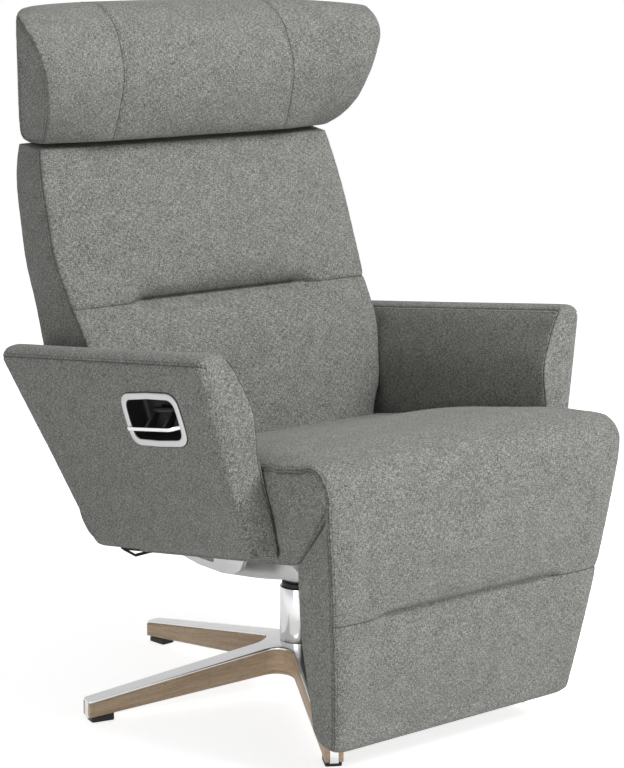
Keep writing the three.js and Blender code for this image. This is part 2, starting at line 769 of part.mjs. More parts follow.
// The ear that carries the backrest's pin, seen from the side
function recliningEarOutline(gap) {
  const low = seatAt(earFoot - gap, rail.foot - gap);
  const rear = seatAt(railRear + gap, rail.foot - gap);
  const front = seatAt(earFoot - gap, railTop + gap);
  const radius = recliningEar.radius + gap;
  const arc = Array.from({ length: recliningEar.arcSteps + 1 }, (_, step) => {
    const angle = lerp(-Math.PI / 2, recliningEar.arcEnd, step / recliningEar.arcSteps);
    return { y: backPivot.y + Math.cos(angle) * radius, z: backPivot.z + Math.sin(angle) * radius };
  });
  return [low, rear, ...arc, front];
}

const outriggerFar = armInner + seamLip - fitGap;
const outriggerNear = outriggerFar - outrigger.flangeThickness;

function outriggers(side, gap) {
  return outriggerPlaces.flatMap((along) => {
    const depth = [along - outrigger.depth / 2 - gap, along + outrigger.depth / 2 + gap];
    const low = outrigger.lift - gap;
    return [
      inSeat(block(spanX(side, railInner, outriggerFar + gap), depth, [low, railTop + gap])),
      inSeat(block(spanX(side, outriggerNear - gap, outriggerFar + gap), depth,
        [low, outrigger.lift + outrigger.flangeHeight + gap])),
    ];
  });
}

const armBoltHeight = outrigger.lift + outrigger.flangeHeight - bolt.headRadius - fitGap;

function armBolt(side, along, gap) {
  const headEnd = outriggerNear - fitGap;
  const tip = outriggerFar + armPanel.thickness - seamLip / 2 + gap;
  const shankX = spanX(side, headEnd - bolt.headHeight / 2, tip);
  const shank = solid(crossRodIn(bolt.radius + gap, shankX, along, armBoltHeight));
  if (gap > 0) return shank;
  const head = crossRodIn(bolt.headRadius, spanX(side, headEnd - bolt.headHeight, headEnd), along, armBoltHeight);
  return solid(head).add(shank);
}

function crossRodIn(radius, x, along, up) {
  return inSeat(rod(radius, new THREE.Vector3(x[0], along, up), new THREE.Vector3(x[1], along, up), bolt.sides));
}

function frameSide(side) {
  const earX = spanX(side, earInner, earInner + recliningEar.thickness);
  const webX = spanX(side, railOuter - cutOverrun, earInner + cutOverrun);
  return [
    inSeat(block(spanX(side, railInner, railOuter), [-railFront, railRear], [rail.foot, railTop])),
    frameGooseneck(side, 0),
    sidePlate(recliningEarOutline(0), earX),
    inSeat(block(webX, [earFoot + cutOverrun, railRear - cutOverrun],
      [rail.foot + cutOverrun, railTop - cutOverrun])),
    ...outriggers(side, 0),
  ];
}

function frameHoles(side) {
  const pinBore = pivotPin.radius + fitGap;
  const tubeX = spanX(side, railOuter - pivotPin.engagement - fitGap, railOuter + cutOverrun);
  const earX = spanX(side, earInner - cutOverrun, earInner + recliningEar.thickness + cutOverrun);
  return [
    solid(crossRod(pinBore, tubeX, footPivot, pivotPin.sides)),
    solid(crossRod(pinBore, earX, backPivot, pivotPin.sides)),
    ...outriggerPlaces.map((along) => armBolt(side, along, fitGap)),
  ];
}

function buildSeatFrame() {
  const crossAt = [
    [-railFront, -railFront + crossRail.depth / 2], [railRear - crossRail.depth / 2, railRear],
    barDepth(crossRail.front), barDepth(crossRail.rear),
  ];
  const crossX = [-railInner - cutOverrun, railInner + cutOverrun];
  const pieces = crossAt.map((y) => inSeat(block(crossX, y, [rail.foot, rail.foot + crossRail.height])));
  pieces.push(crossRod(frontTube.radius, [-railOuter, railOuter], footPivot, frontTube.sides), gasMountBlock());
  for (const [, side] of sides) pieces.push(...frameSide(side));
  const holes = sides.flatMap(([, side]) => frameHoles(side));
  return cut(union(pieces.map(solid)), [...boltHoles(fitGap), ...holes]);
}

// Gas spring: the cylinder is clipped under the seat frame, its rod pushes the back's lower lever

const leverPin = { y: backPivot.y, z: backPivot.z - gas.leverDrop };
const gasAxis = { z: leverPin.z, front: gas.front };
const cylinderRear = gas.front + gas.length;

function gasMountBlock() {
  const place = gas.front + gas.length * gasClipShares.height;
  const top = seatAt(seatAlong(place, rail.foot), rail.foot).z + crossRail.height / 2;
  return block([gas.x - gas.radius, gas.x + gas.radius],
    [gas.front + gas.length * gasClipShares.front, gas.front + gas.length * gasClipShares.rear],
    [gasAxis.z + gas.radius + fitGap, top]);
}

add('seat_frame', geometryOf(buildSeatFrame()), finishes.steel);

const alongY = (radius, y, sidesCount) =>
  rod(radius, new THREE.Vector3(gas.x, y[0], gasAxis.z), new THREE.Vector3(gas.x, y[1], gasAxis.z), sidesCount);

const cylinderBody = solid(alongY(gas.radius, [gas.front, cylinderRear], gas.sides));
const boreEnds = [gas.front + gas.floor, cylinderRear + cutOverrun];
const cylinderBore = solid(alongY(gas.rodRadius + fitGap, boreEnds, gas.sides));
add('gas_cylinder', geometryOf(cut(cylinderBody, [cylinderBore])), finishes.black);

function buildGasRod() {
  const slotHalf = gas.pinRadius + gas.slotGap;
  const forkFront = leverPin.y - slotHalf - gas.forkWall;
  const forkRear = leverPin.y + slotHalf + gas.forkWall;
  const low = gasAxis.z - gas.slotHeight / 2;
  const high = gasAxis.z + gas.slotHeight;
  const past = gas.forkHalf + cutOverrun;
  const cheekHalf = gas.leverThickness / 2 + 2 * fitGap;
  const shaft = alongY(gas.rodRadius, [cylinderRear - gas.rodInside, forkFront + gas.forkWall / 2], gas.sides);
  const fork = block([gas.x - gas.forkHalf, gas.x + gas.forkHalf], [forkFront, forkRear], [low - gas.forkWall, high]);
  const slot = block([gas.x - past, gas.x + past], [leverPin.y - slotHalf, leverPin.y + slotHalf],
    [low, high + cutOverrun]);
  const cheek = block([gas.x - cheekHalf, gas.x + cheekHalf], [forkFront + gas.cheekWall, forkRear + cutOverrun],
    [gasAxis.z - gas.slotHeight, high + cutOverrun]);
  return cut(solid(shaft).add(solid(fork)), [solid(slot), solid(cheek)]);
}
add('gas_rod', geometryOf(buildGasRod()), finishes.polished);

// Seat webbing across the rails
const strapFoot = rail.foot + rail.height + fitGap;
for (let i = 0; i < strap.count; i += 1) {
  const along = strap.firstBehindRoll - roll.ahead + i * strap.pitch;
  add(`seat_strap_${i + 1}`, inSeat(block([-railOuter, railOuter],
    [along - strap.width / 2, along + strap.width / 2], [strapFoot, strapFoot + strap.thickness])), finishes.webbing);
}

// Seat cushion: the front roll runs round the footrest's axis, the rear face stands just before the back

const seatRear = backPivot.y - backPivot.radius - backClearance;

// How far the top bulges above the seat plane: nothing at the roll's front half, at the sides and at the back
function seatLift(y, across) {
  const start = footPivot.y - roll.radius / 2;
  const rise = smooth(y, start, start + seat.crownRise);
  const fall = 1 - smooth(y, seatRear - seat.crownFall, seatRear - seat.crownRise);
  return seat.crown * rise * fall * (1 - across ** seatCrownPower);
}

function seatProfile(across) {
  const lowerCorner = seatAt(-lowerEdge, 0);
  const profile = [seatAt(seatAlong(seatRear, 0), 0), lowerCorner];
  const toPivot = new THREE.Vector2(footPivot.y - lowerCorner.y, footPivot.z - lowerCorner.z);
  const tangent = Math.atan2(toPivot.y, toPivot.x) + Math.asin(roll.radius / toPivot.length());
  const first = tangent + Math.PI / 2;
  const last = Math.PI / 2 - seat.tilt;
  for (let step = 0; step <= roll.steps; step += 1) {
    const angle = lerp(first, last, step / roll.steps);
    profile.push({ y: footPivot.y + roll.radius * Math.cos(angle), z: footPivot.z + roll.radius * Math.sin(angle) });
  }
  const rearAlong = seatAlong(seatRear, seat.thickness);
  for (let step = 1; step <= roll.steps; step += 1) {
    profile.push(seatAt(lerp(-roll.ahead, rearAlong, (step / roll.steps) ** topSpacingPower), seat.thickness));
  }
  profile[profile.length - 1].y = seatRear;
  const lift = (point, i) => (i > roll.steps / 2 ? seatLift(point.y, across) : 0);
  return profile.map((point, i) => ({ y: point.y, z: point.z + lift(point, i) }));
}

function acrossShares(count, endShare) {
  const inner = Array.from({ length: count + 1 }, (_, i) => lerp(-1, 1, i / count) * (1 - endShare));
  return [-1, ...inner, 1];
}

function buildSeatCushion() {
  const rings = acrossShares(seat.stations, seat.sideDraw / seat.halfWidthTop).map((across) => {
    const end = Math.abs(across) === 1;
    return seatProfile(across).map((point) => {
      const height = (point.z - seatAt(seatAlong(point.y, 0), 0).z) / seat.thickness;
      const half = lerp(seatHalfLow, seat.halfWidthTop, THREE.MathUtils.clamp(height, 0, 1));
      const draw = end ? seat.sideDraw : 0;
      const middle = seatAt(-roll.ahead / 2, seat.thickness / 2);
      const inwards = new THREE.Vector2(middle.y - point.y, middle.z - point.z).setLength(draw);
      return new THREE.Vector3(across * half, Math.min(point.y + inwards.x, seatRear), point.z + inwards.y);
    });
  });
  const pocketX = [-railOuter - 2 * fitGap, railOuter + 2 * fitGap];
  const tubeX = [-railOuter - fitGap, railOuter + fitGap];
  const cuts = [
    inSeat(block(pocketX, [-railFront - fitGap, railRear + seat.thickness],
      [-cutOverrun, strapFoot + strap.thickness + fitGap])),
    crossRod(frontTube.radius + fitGap, tubeX, footPivot, frontTube.sides),
  ];
  for (const [, side] of sides) cuts.push(...seatSideCuts(side));
  return cut(solid(loft(rings)), cuts.map(solid));
}

// Room in the seat for the frame's side, the arm and the footrest's hinge
function seatSideCuts(side) {
  const far = seat.halfWidthTop + cutOverrun;
  const headX = spanX(side, hingePlateOuter, hingePlateOuter + pivotPin.headHeight + 3 * fitGap);
  const armHeadX = spanX(side, outriggerNear - bolt.headHeight - 3 * fitGap, outriggerNear + fitGap);
  return [
    frameGooseneck(side, fitGap),
    ...outriggers(side, fitGap),
    inSeat(block(spanX(side, railInner, far), [earFoot - 2 * fitGap, railRear + seat.thickness],
      [-seat.thickness, railTop + fitGap])),
    sidePlate(recliningEarOutline(fitGap), spanX(side, earInner - fitGap, far)),
    sidePlate(armNotch(), spanX(side, seat.halfWidthTop - seat.armRecess, far)),
    sidePlate(hingeSweep(), spanX(side, hingePlateInner - fitGap, hingePlateOuter + fitGap)),
    crossRod(pivotPin.headRadius + fitGap, headX, footPivot, pivotPin.sides),
    crossRod(pivotPin.radius + 2 * fitGap, spanX(side, railOuter - fitGap, hingePlateOuter), footPivot,
      pivotPin.sides),
    ...outriggerPlaces.map((along) => crossRodIn(bolt.headRadius + fitGap, armHeadX, along, armBoltHeight)),
  ];
}

// What the seat leaves free for an arm's front and inner face
function armNotch() {
  const near = armCorner.frontBottom.y - seat.notchAhead;
  const far = seatRear + cutOverrun;
  const low = seatAt(near, -seat.thickness).z;
  const high = armCorner.frontTop.z;
  return [{ y: near, z: low }, { y: far, z: low }, { y: far, z: high }, { y: near, z: high }];
}

// The space a footrest hinge plate sweeps inside the seat's front roll
function hingeSweep() {
  const margin = footHinge.eyeRadius + footHinge.slotMargin;
  const front = footPivot.y - roll.radius - seamLip;
  return [
    { y: footPivot.y + margin, z: footPivot.z + margin * slotShares.rear },
    { y: footPivot.y + margin, z: hingePlateLow },
    { y: front, z: hingePlateLow },
    { y: front, z: footPivot.z + margin * slotShares.front },
    { y: footPivot.y + margin * slotShares.rear, z: footPivot.z + margin },
  ];
}

add('seat_cushion', geometryOf(buildSeatCushion()), finishes.wool);

// Footrest

const footShare = (z) => THREE.MathUtils.clamp((z - foot.bottom) / (footTop - foot.bottom), 0, 1);
const footHalfAt = (z) => lerp(footHalfLow, footHalfTop, footShare(z));
const footFrontAt = (z) => {
  const down = 1 - footShare(z);
  return footPivot.y - foot.frontFromPivot + foot.undercut * down - foot.bow * 4 * down * (1 - down);
};

// The seat's undercut behind the footrest, as a line from its lower edge to the roll
function undercutAt(z) {
  const lower = seatAt(-lowerEdge, 0);
  const toPivot = new THREE.Vector2(footPivot.y - lower.y, footPivot.z - lower.z);
  const angle = Math.atan2(toPivot.y, toPivot.x) + Math.asin(roll.radius / toPivot.length());
  return lower.y + (z - lower.z) / Math.tan(angle);
}

function footFrontPoint(z, across) {
  const half = footHalfAt(z);
  const middle = 1 - smooth(Math.abs(across * half), foot.channelHalfLength, half);
  const lower = Math.sin(Math.PI * smooth(z, foot.bottom, channelHeight));
  const upper = Math.sin(Math.PI * smooth(z, channelHeight, footTop));
  const crown = foot.crown * (lower + upper) * (1 - across ** 2);
  const channel = foot.channelDepth * bell(z - channelHeight, foot.channelSpread) * middle;
  return { y: footFrontAt(z) - crown + channel, z };
}

function footProfile(across) {
  const lowest = footFrontAt(foot.bottom);
  const profile = [];
  for (let step = 0; step <= foot.frontSteps; step += 1) {
    profile.push(footFrontPoint(lerp(footTop, foot.bottom + foot.toeRadius, step / foot.frontSteps), across));
  }
  profile.push(
    { y: lowest + foot.toeRadius * toeShares.near, z: foot.bottom + foot.toeRadius * toeShares.near },
    { y: lowest + foot.toeRadius * toeShares.middle, z: foot.bottom },
    { y: lowest + foot.thicknessLow * toeShares.middle, z: foot.bottom + foot.toeRadius * toeShares.far },
  );
  for (let step = 0; step <= foot.rearSteps; step += 1) {
    const z = lerp(foot.bottom + foot.toeRadius * 2, footTop - seamLip, step / foot.rearSteps);
    const thick = lerp(foot.thicknessLow, foot.thickness, smooth(z, foot.bottom, channelHeight));
    profile.push({ y: Math.min(footFrontAt(z) + thick, undercutAt(z) - 4 * fitGap), z });
  }
  return profile;
}

function buildFootrest() {
  const rings = acrossShares(foot.stations, foot.sideDraw / footHalfTop).map((across) => {
    const end = Math.abs(across) === 1 ? seamLip / 2 : 0;
    return footProfile(across).map((point) => {
      const centre = { y: footFrontAt(point.z) + foot.thicknessLow / 2, z: (footTop + foot.bottom) / 2 };
      const inwards = new THREE.Vector2(centre.y - point.y, centre.z - point.z).setLength(end);
      return new THREE.Vector3(across * footHalfAt(point.z), point.y + inwards.x, point.z + inwards.y);
    });
  });
  const cuts = [footboardSolid(fitGap), rollClearance()];
  for (const [, side] of sides) cuts.push(footBracketSolid(side, fitGap));
  return cut(solid(loft(rings)), cuts);
}

const rollClearance = () => solid(crossRod(roll.radius + 2 * fitGap,
  [-seat.halfWidthTop - cutOverrun, seat.halfWidthTop + cutOverrun], footPivot, 4 * roll.steps));

const boardLean = Math.atan2(foot.undercut, footTop - foot.bottom);
const boardFront = footFrontAt(boardTop) + footboard.behindFront;

function footboardSolid(gap) {
  const [high, low] = [footHalfTop - footboard.sideMargin + gap, footHalfLow - footboard.sideMargin + gap];
  const outline = [
    { x: -high, z: boardTop + gap }, { x: -low, z: boardBottom - gap },
    { x: low, z: boardBottom - gap }, { x: high, z: boardTop + gap },
  ];
  const board = frontPlate(outline, [-gap, footboard.thickness + gap]).translate(0, 0, -boardTop);
  return solid(board.rotateX(boardLean).translate(0, boardFront, boardTop));
}

// A hinge plate from the pivot down beside the board, with a flange on the board's back
function footBracketSolid(side, gap) {
  const x = spanX(side, hingePlateInner - gap, hingePlateOuter + gap);
  const rearLine = (z) => boardFront + footboard.thickness + fitGap + (boardTop - z) * Math.tan(boardLean);
  const low = { y: rearLine(hingePlateLow), z: hingePlateLow - gap };
  const high = { y: rearLine(boardTop - seamLip), z: boardTop - seamLip + gap };
  const behind = footHinge.plateThickness + gap;
  const plate = sidePlate([
    { y: footPivot.y - footHinge.eyeRadius - gap, z: footPivot.z },
    { y: boardFront - gap, z: boardTop },
    { y: low.y - footboard.thickness, z: low.z },
    { y: low.y + behind, z: low.z },
    { y: footPivot.y + footHinge.eyeRadius + gap, z: footPivot.z },
  ], x);
  const flange = sidePlate([
    { y: low.y - gap, z: low.z }, { y: low.y + behind, z: low.z },
    { y: high.y + behind, z: high.z }, { y: high.y - gap, z: high.z },
  ], spanX(side, hingePlateInner - footHinge.flangeReach - gap, hingePlateOuter + gap));
  const eye = crossRod(footHinge.eyeRadius + gap, x, footPivot, footHinge.eyeSides);
  const body = union([eye, plate, flange].map(solid));
  if (gap > 0) return body;
  const boreX = spanX(side, hingePlateInner - cutOverrun, hingePlateOuter + cutOverrun);
  return cut(body, [solid(crossRod(pivotPin.radius + fitGap, boreX, footPivot, pivotPin.sides))]);
}

// A pin from inside its tube's end out to a head on the plate that it carries
function hingePin(side, tubeEnd, plateFar, headHeight, at) {
  const outside = plateFar + fitGap;
  const shankX = spanX(side, tubeEnd - pivotPin.engagement, outside + headHeight / 2);
  const head = crossRod(pivotPin.headRadius, spanX(side, outside, outside + headHeight), at, pivotPin.sides);
  return solid(crossRod(pivotPin.radius, shankX, at, pivotPin.sides)).add(solid(head));
}

add('footrest_cushion', geometryOf(buildFootrest()), finishes.wool);
add('footrest_board', geometryOf(footboardSolid(0)), finishes.plywood);
for (const [name, side] of sides) {
  add(`footrest_bracket_${name}`, geometryOf(footBracketSolid(side, 0)), finishes.steel);
  add(`footrest_pin_${name}`, geometryOf(hingePin(side, railOuter, hingePlateOuter, pivotPin.headHeight, footPivot)),
    finishes.steel);
}

// Backrest

const backBottom = backPivot.z - backPivot.radius;
const backTop = backPivot.z + back.height;
const backShare = (z) => (z - backPivot.z) / back.height;
const hingeBulge = (z) => Math.sqrt(Math.max(backPivot.radius ** 2 - (backPivot.z - z) ** 2, 0));
const backFrontAt = (z) => {
  if (z < backPivot.z) return backPivot.y - hingeBulge(z);
  return backPivot.y - backPivot.radius + back.frontLean * sample(backFrontShares, backShare(z));
};
const backRearAt = (z) => {
  if (z < backPivot.z) return backPivot.y + hingeBulge(z);
  return backPivot.y + back.rearReach + back.rearLean * sample(backRearShares, backShare(z));
};
const backHalfAt = (z) => backHalfWidth * sample(backWidthShares, backShare(z));

const sineShare = (value, from, to) =>
  Math.sin(Math.PI * THREE.MathUtils.clamp((value - from) / (to - from), 0, 1));

function backSection(z) {
  const half = backHalfAt(z);
  const front = backFrontAt(z);
  const rear = backRearAt(z);
  const share = backShare(z);
  const depth = rear - front;
  const seam = Math.min(back.seamRadius, depth / 4);
  const fromChannel = z - backPivot.z - backChannelShare * back.height;
  const lower = sineShare(share, backCrownStartShare, backChannelShare);
  const upper = sineShare(share, backChannelShare, 1);
  const outline = [];
  for (let i = 0; i <= back.acrossPoints; i += 1) {
    const across = lerp(-1, 1, i / back.acrossPoints);
    const x = across * (half - back.seamRadius * seamSideShare);
    const bulge = back.crown * (lower * lowerCrownShare + upper) * (1 - across ** 2);
    const reach = 1 - smooth(Math.abs(x), back.channelHalfLength, half);
    const channel = back.channelDepth * bell(fromChannel, back.channelSpread) * reach;
    outline.push(new THREE.Vector3(x, front - bulge + channel, z));
  }
  const flank = [[half, front + seam], [half - back.sideDraw, front + depth / 2], [half, rear - seam]];
  outline.push(...flank.map(([x, y]) => new THREE.Vector3(x, y, z)));
  for (let i = 0; i <= back.rearPoints; i += 1) {
    outline.push(new THREE.Vector3(lerp(1, -1, i / back.rearPoints) * (half - back.seamRadius), rear, z));
  }
  outline.push(...flank.reverse().map(([x, y]) => new THREE.Vector3(-x, y, z)));
  return outline;
}

function buildBackCushion() {
  const rings = [];
  for (let step = 1; step <= back.hingeSteps; step += 1) {
    const angle = (Math.PI / 2) * (step / back.hingeSteps);
    rings.push(backSection(backPivot.z - backPivot.radius * Math.cos(angle)));
  }
  for (let level = 1; level <= back.levels; level += 1) {
    rings.push(backSection(lerp(backPivot.z, backTop, level / back.levels)));
  }
  const pinStubs = sides.map(([, side]) =>
    solid(crossRod(pivotPin.radius + fitGap, spanX(side, backEarX, earInner), backPivot, pivotPin.sides)));
  return cut(solid(loft(rings)),
    [...backFrameBars(fitGap), ...pinStubs, ...guideHoles(), solid(leverPlate(fitGap)), forkPocket()]);
}

// Leaning bars of the back frame
const backLine = (z) => backPivot.y + (z - backPivot.z) * barSlopeShare;
const onBack = (x, z) => new THREE.Vector3(x, backLine(z), z);

function backFrameBars(gap) {
  const radius = backFrame.tubeRadius + gap;
  const heightAt = (share) => backPivot.z + share * back.height;
  const bar = (x, z) => rod(radius, onBack(-x, z), onBack(x, z), backFrame.tubeSides);
  const high = heightAt(highBarShare);
  const middle = heightAt(middleBarShare);
  const bars = [bar(backEarX + gap, backPivot.z), bar(backTubeX, high), bar(backTubeX, middle)];
  for (const [, side] of sides) {
    const x = side * backTubeX;
    bars.push(rod(radius, onBack(x, backPivot.z), onBack(x, high + radius), backFrame.tubeSides));
    bars.push(guideBlock(side, gap));
  }
  return bars.map(solid);
}

// The headrest's posts slide along the leaning bars' direction
const guideTop = backPivot.z + guideTopShare * back.height;
const guideFoot = guideTop - guide.length;

function guideBlock(side, gap) {
  const z = backPivot.z + highBarShare * back.height;
  const half = guide.blockHalf + gap;
  const body = block([-half, half], [-half, half], [-half, half]);
  return body.rotateX(-Math.atan(barSlopeShare)).translate(side * guide.x, backLine(z), z);
}

const guideRod = (side, radius, low, high, count) =>
  rod(radius, onBack(side * guide.x, low), onBack(side * guide.x, high), count);
const guideHoles = () => sides.map(([, side]) => solid(guideRod(side, guide.outerRadius + fitGap,
  guideFoot - guide.clearBelow, backTop + backPivot.radius, guide.sides)));

function leverPlate(gap) {
  const half = backFrame.tubeRadius + gap;
  const foot = gas.pinRadius + gas.leverMargin + gap;
  const across = gas.leverThickness / 2 + gap;
  return sidePlate([
    { y: backPivot.y - half, z: backPivot.z }, { y: leverPin.y - foot, z: leverPin.z - foot },
    { y: leverPin.y + foot, z: leverPin.z - foot }, { y: backPivot.y + half, z: backPivot.z },
  ], [gas.x - across, gas.x + across]);
}

// Room round the rod's fork through the whole recline
const forkPocket = () => solid(crossRod(gas.slotHeight + gas.forkWall + 2 * fitGap,
  [gas.x - gas.forkHalf - 2 * fitGap, gas.x + gas.forkHalf + 2 * fitGap], leverPin, column.sides));

function buildBackFrame() {
  const pin = crossRod(gas.pinRadius, [gas.x - gas.forkHalf, gas.x + gas.forkHalf], leverPin, gas.pinSides);
  const holes = sides.flatMap(([, side]) => {
    const boreX = spanX(side, backEarX - pivotPin.engagement - fitGap, backEarX + cutOverrun);
    return [
      solid(guideRod(side, guide.outerRadius + fitGap, guideFoot - fitGap, backTop, guide.sides)),
      solid(crossRod(pivotPin.radius + fitGap, boreX, backPivot, pivotPin.sides)),
    ];
  });
  return cut(union([...backFrameBars(0), solid(leverPlate(0)), solid(pin)]), holes);
}

function headrestGuide(side) {
  const sleeve = guideRod(side, guide.outerRadius, guideFoot, guideTop, guide.sides);
  const bore = guideRod(side, post.radius + fitGap, guideFoot - cutOverrun, guideTop + cutOverrun, post.sides);
  return cut(solid(sleeve), [solid(bore)]);
}

add('back_cushion', geometryOf(buildBackCushion()), finishes.wool);
add('back_frame', geometryOf(buildBackFrame()), finishes.steel);
for (const [name, side] of sides) {
  add(`recline_pin_${name}`,
    geometryOf(hingePin(side, backEarX, earInner + recliningEar.thickness, cutOverrun, backPivot)), finishes.steel);
  add(`headrest_guide_${name}`, geometryOf(headrestGuide(side)), finishes.black);
}

// Headrest and the posts that carry it

const headBottom = backTop + head.gap;
const headTopAt = (across) => headBottom + head.height - head.wingDrop * across ** wingDropPower;
const headHalfAt = (share) => headHalfWidth * sample(headWidthShares, share);

function headFrontAt(x, share) {
  const wing = smooth(Math.abs(x), head.innerSeam, headHalfAt(share));
  const back = lerp(sample(headFrontShares, share), sample(headWingShares, share), wing);
  return headFront + head.frontForward * back;
}

// The rear face leans back and is cut off slantwise behind each wing, with a rounded corner between the two
function headRearAt(x, share) {
  const flat = headFront + head.depth + head.rearLean * (share - 1 / 2);
  const inwards = headHalfWidth - wingCut.fromEnd - Math.abs(x);
  const slant = headFront + wingCut.behindFront + inwards * wingCut.slopeShare;
  return (flat + slant - Math.hypot(slant - flat, head.endRound)) / 2;
}

function headSection(across, inset) {
  const low = headBottom + inset;
  const high = headTopAt(across) - inset;
  return headSectionShares.map(([share, depth]) => {
    const x = across * headHalfAt(share);
    const y = lerp(headFrontAt(x, share) + inset, headRearAt(x, share) - inset, depth);
    return new THREE.Vector3(x, y, lerp(low, high, share));
  });
}

const hingeZ = headBottom + headHingeShare * head.height;
const hingePoint = { y: backLine(hingeZ) - headHinge.ahead, z: hingeZ };

function buildHeadCushion() {
  const rings = acrossShares(head.stations, head.endDepth / headHalfWidth).map((across) =>
    headSection(across, Math.abs(across) === 1 ? head.endInset : 0));
  return cut(solid(loft(rings)), [headPlateSolid(fitGap), ...postSweeps(), shaftClearance()]);
}

const shaftClearance = () => solid(crossRod(post.shaftRadius + fitGap,
  [-post.shaftHalf - fitGap, post.shaftHalf + fitGap], hingePoint, post.sides));

// Room round a post and its crank while the headrest nods forward
function postSweeps() {
  const width = post.radius + cutOverrun;
  const rear = width + cutOverrun;
  const low = headBottom - head.gap;
  const reach = new THREE.Vector2(backLine(low) - hingePoint.y, low - hingeZ);
  const nodded = reach.clone().rotateAround(new THREE.Vector2(), -headHinge.travel);
  const high = hingeZ + width;
  const outline = [
    { y: hingePoint.y - width, z: high }, { y: backLine(high) + rear, z: high },
    { y: backLine(low) + rear, z: low }, { y: hingePoint.y + nodded.x - width, z: low },
    { y: hingePoint.y - width, z: hingeZ - width - Math.sin(headHinge.travel) * width },
  ];
  return sides.map(([, side]) => solid(sidePlate(outline, [side * guide.x - width, side * guide.x + width])));
}

function headPlateSolid(gap) {
  const near = hingePoint.y + headPlate.behindHinge - gap;
  const half = headPlate.halfWidth + gap;
  const plate = solid(block([-half, half], [near, near + headPlate.thickness + 2 * gap],
    [hingeZ - headPlate.below - gap, hingeZ + headPlate.above + gap]));
  const ears = sides.flatMap(([, side]) => {
    const x = spanX(side, headHinge.earInner - gap, headHinge.earInner + headHinge.earWidth + gap);
    const radius = headHinge.earRadius + gap;
    const arm = block(x, [hingePoint.y, near + cutOverrun], [hingeZ - radius, hingeZ + radius]);
    return [solid(arm), solid(crossRod(radius, x, hingePoint, guide.sides))];
  });
  const body = union([plate, ...ears]);
  return gap > 0 ? body : cut(body, [shaftClearance()]);
}

function buildPosts() {
  const legs = sides.flatMap(([, side]) => {
    const top = onBack(side * guide.x, hingeZ);
    const crank = new THREE.Vector3(side * guide.x, hingePoint.y, hingeZ);
    return [rod(post.radius, onBack(side * guide.x, guideTop - post.lengthBelow), top, post.sides),
      rod(post.radius, top, crank, post.sides)];
  });
  const shaft = crossRod(post.shaftRadius, [-post.shaftHalf, post.shaftHalf], hingePoint, post.sides);
  return union([...legs, shaft].map(solid));
}

add('headrest_cushion', geometryOf(buildHeadCushion()), finishes.wool);
add('headrest_plate', geometryOf(headPlateSolid(0)), finishes.steel);
add('headrest_posts', geometryOf(buildPosts()), finishes.steel);

// Arms

function armSection(station, inset) {
  const height = armCorner.frontTop.z - armCorner.frontBottom.z;
  const corners = [
    { x: armInner + inset, y: inset, radius: arm.seamRadius },
    { x: armInner + arm.innerFlare + inset, y: height * armShoulderShare, radius: arm.innerTopRadius },
    { x: armTopInner, y: height + arm.crown - inset, radius: arm.innerTopRadius },
    { x: lerp(armTopInner, armOuterTop, armShoulderShare), y: height + arm.crown - inset, radius: arm.crown },
    { x: armOuterTop - inset, y: height - inset, radius: arm.seamRadius },
    { x: armOuterLow - inset, y: inset, radius: arm.lowRadius },
  ];
  return rounded(corners, cornerSteps).map((point) => {
    const up = point.y / height;
    const front = lerp(armCorner.frontBottom.y, armCorner.frontTop.y, up);
    const rear = lerp(armCorner.rearBottom.y, armCorner.rearTop.y, sample(armRearShares, up));
    const low = lerp(armCorner.frontBottom.z, armCorner.rearBottom.z, station);
    const high = lerp(armCorner.frontTop.z, armCorner.rearTop.z, station);
    return new THREE.Vector3(point.x, lerp(front, rear, station), lerp(low, high, up));
  });
}

function armLoft() {
  const endShare = arm.endDepth / (armCorner.rearBottom.y - armCorner.frontBottom.y);
  const inner = Array.from({ length: arm.stations + 1 }, (_, i) => lerp(endShare, 1 - endShare, i / arm.stations));
  const middle = inner.map((station) => armSection(station, 0));
  return loft([armSection(0, arm.endInset), ...middle, armSection(1, arm.endInset)]);
}

// Plywood panel inside an arm, parallel to the seat plane along its foot
const panelFront = armCorner.frontBottom.y + armPanel.frontBehindArm;
const panelRear = armPanel.rearBehind - armPanel.rearSlant;

function armPanelOutline(gap) {
  const low = armPanel.lowLift - gap;
  const high = armPanel.lowLift + armPanel.height + gap;
  return [
    seatAt(panelFront - gap, low), seatAt(panelRear + gap, low),
    seatAt(armPanel.rearBehind + gap, high), seatAt(panelFront - gap, high),
  ];
}
const panelNear = outriggerFar + fitGap;
const panelFar = panelNear + armPanel.thickness;

function armPanelSolid(side, gap) {
  const body = solid(sidePlate(armPanelOutline(gap), spanX(side, panelNear - gap, panelFar + gap)));
  if (gap > 0) return body;
  return cut(body, outriggerPlaces.map((along) => armBolt(side, along, fitGap)));
}

function armOpening(side) {
  return solid(inSeat(block(spanX(side, armInner - seamLip, panelNear + fitGap),
    [panelFront - fitGap, panelRear + fitGap], [armPanel.lowLift - fitGap, armPanel.openingHeight])));
}

function mirroredX(manifold) {
  const flipped = geometryOf(manifold).applyMatrix4(new THREE.Matrix4().makeScale(-1, 1, 1));
  const order = flipped.index.array;
  for (let i = 0; i < order.length; i += 3) {
    [order[i], order[i + 1]] = [order[i + 1], order[i]];
  }
  return solid(flipped);
}

// Release lever: everything in the cup is drawn with x out of the arm's outer face, y forwards and z up

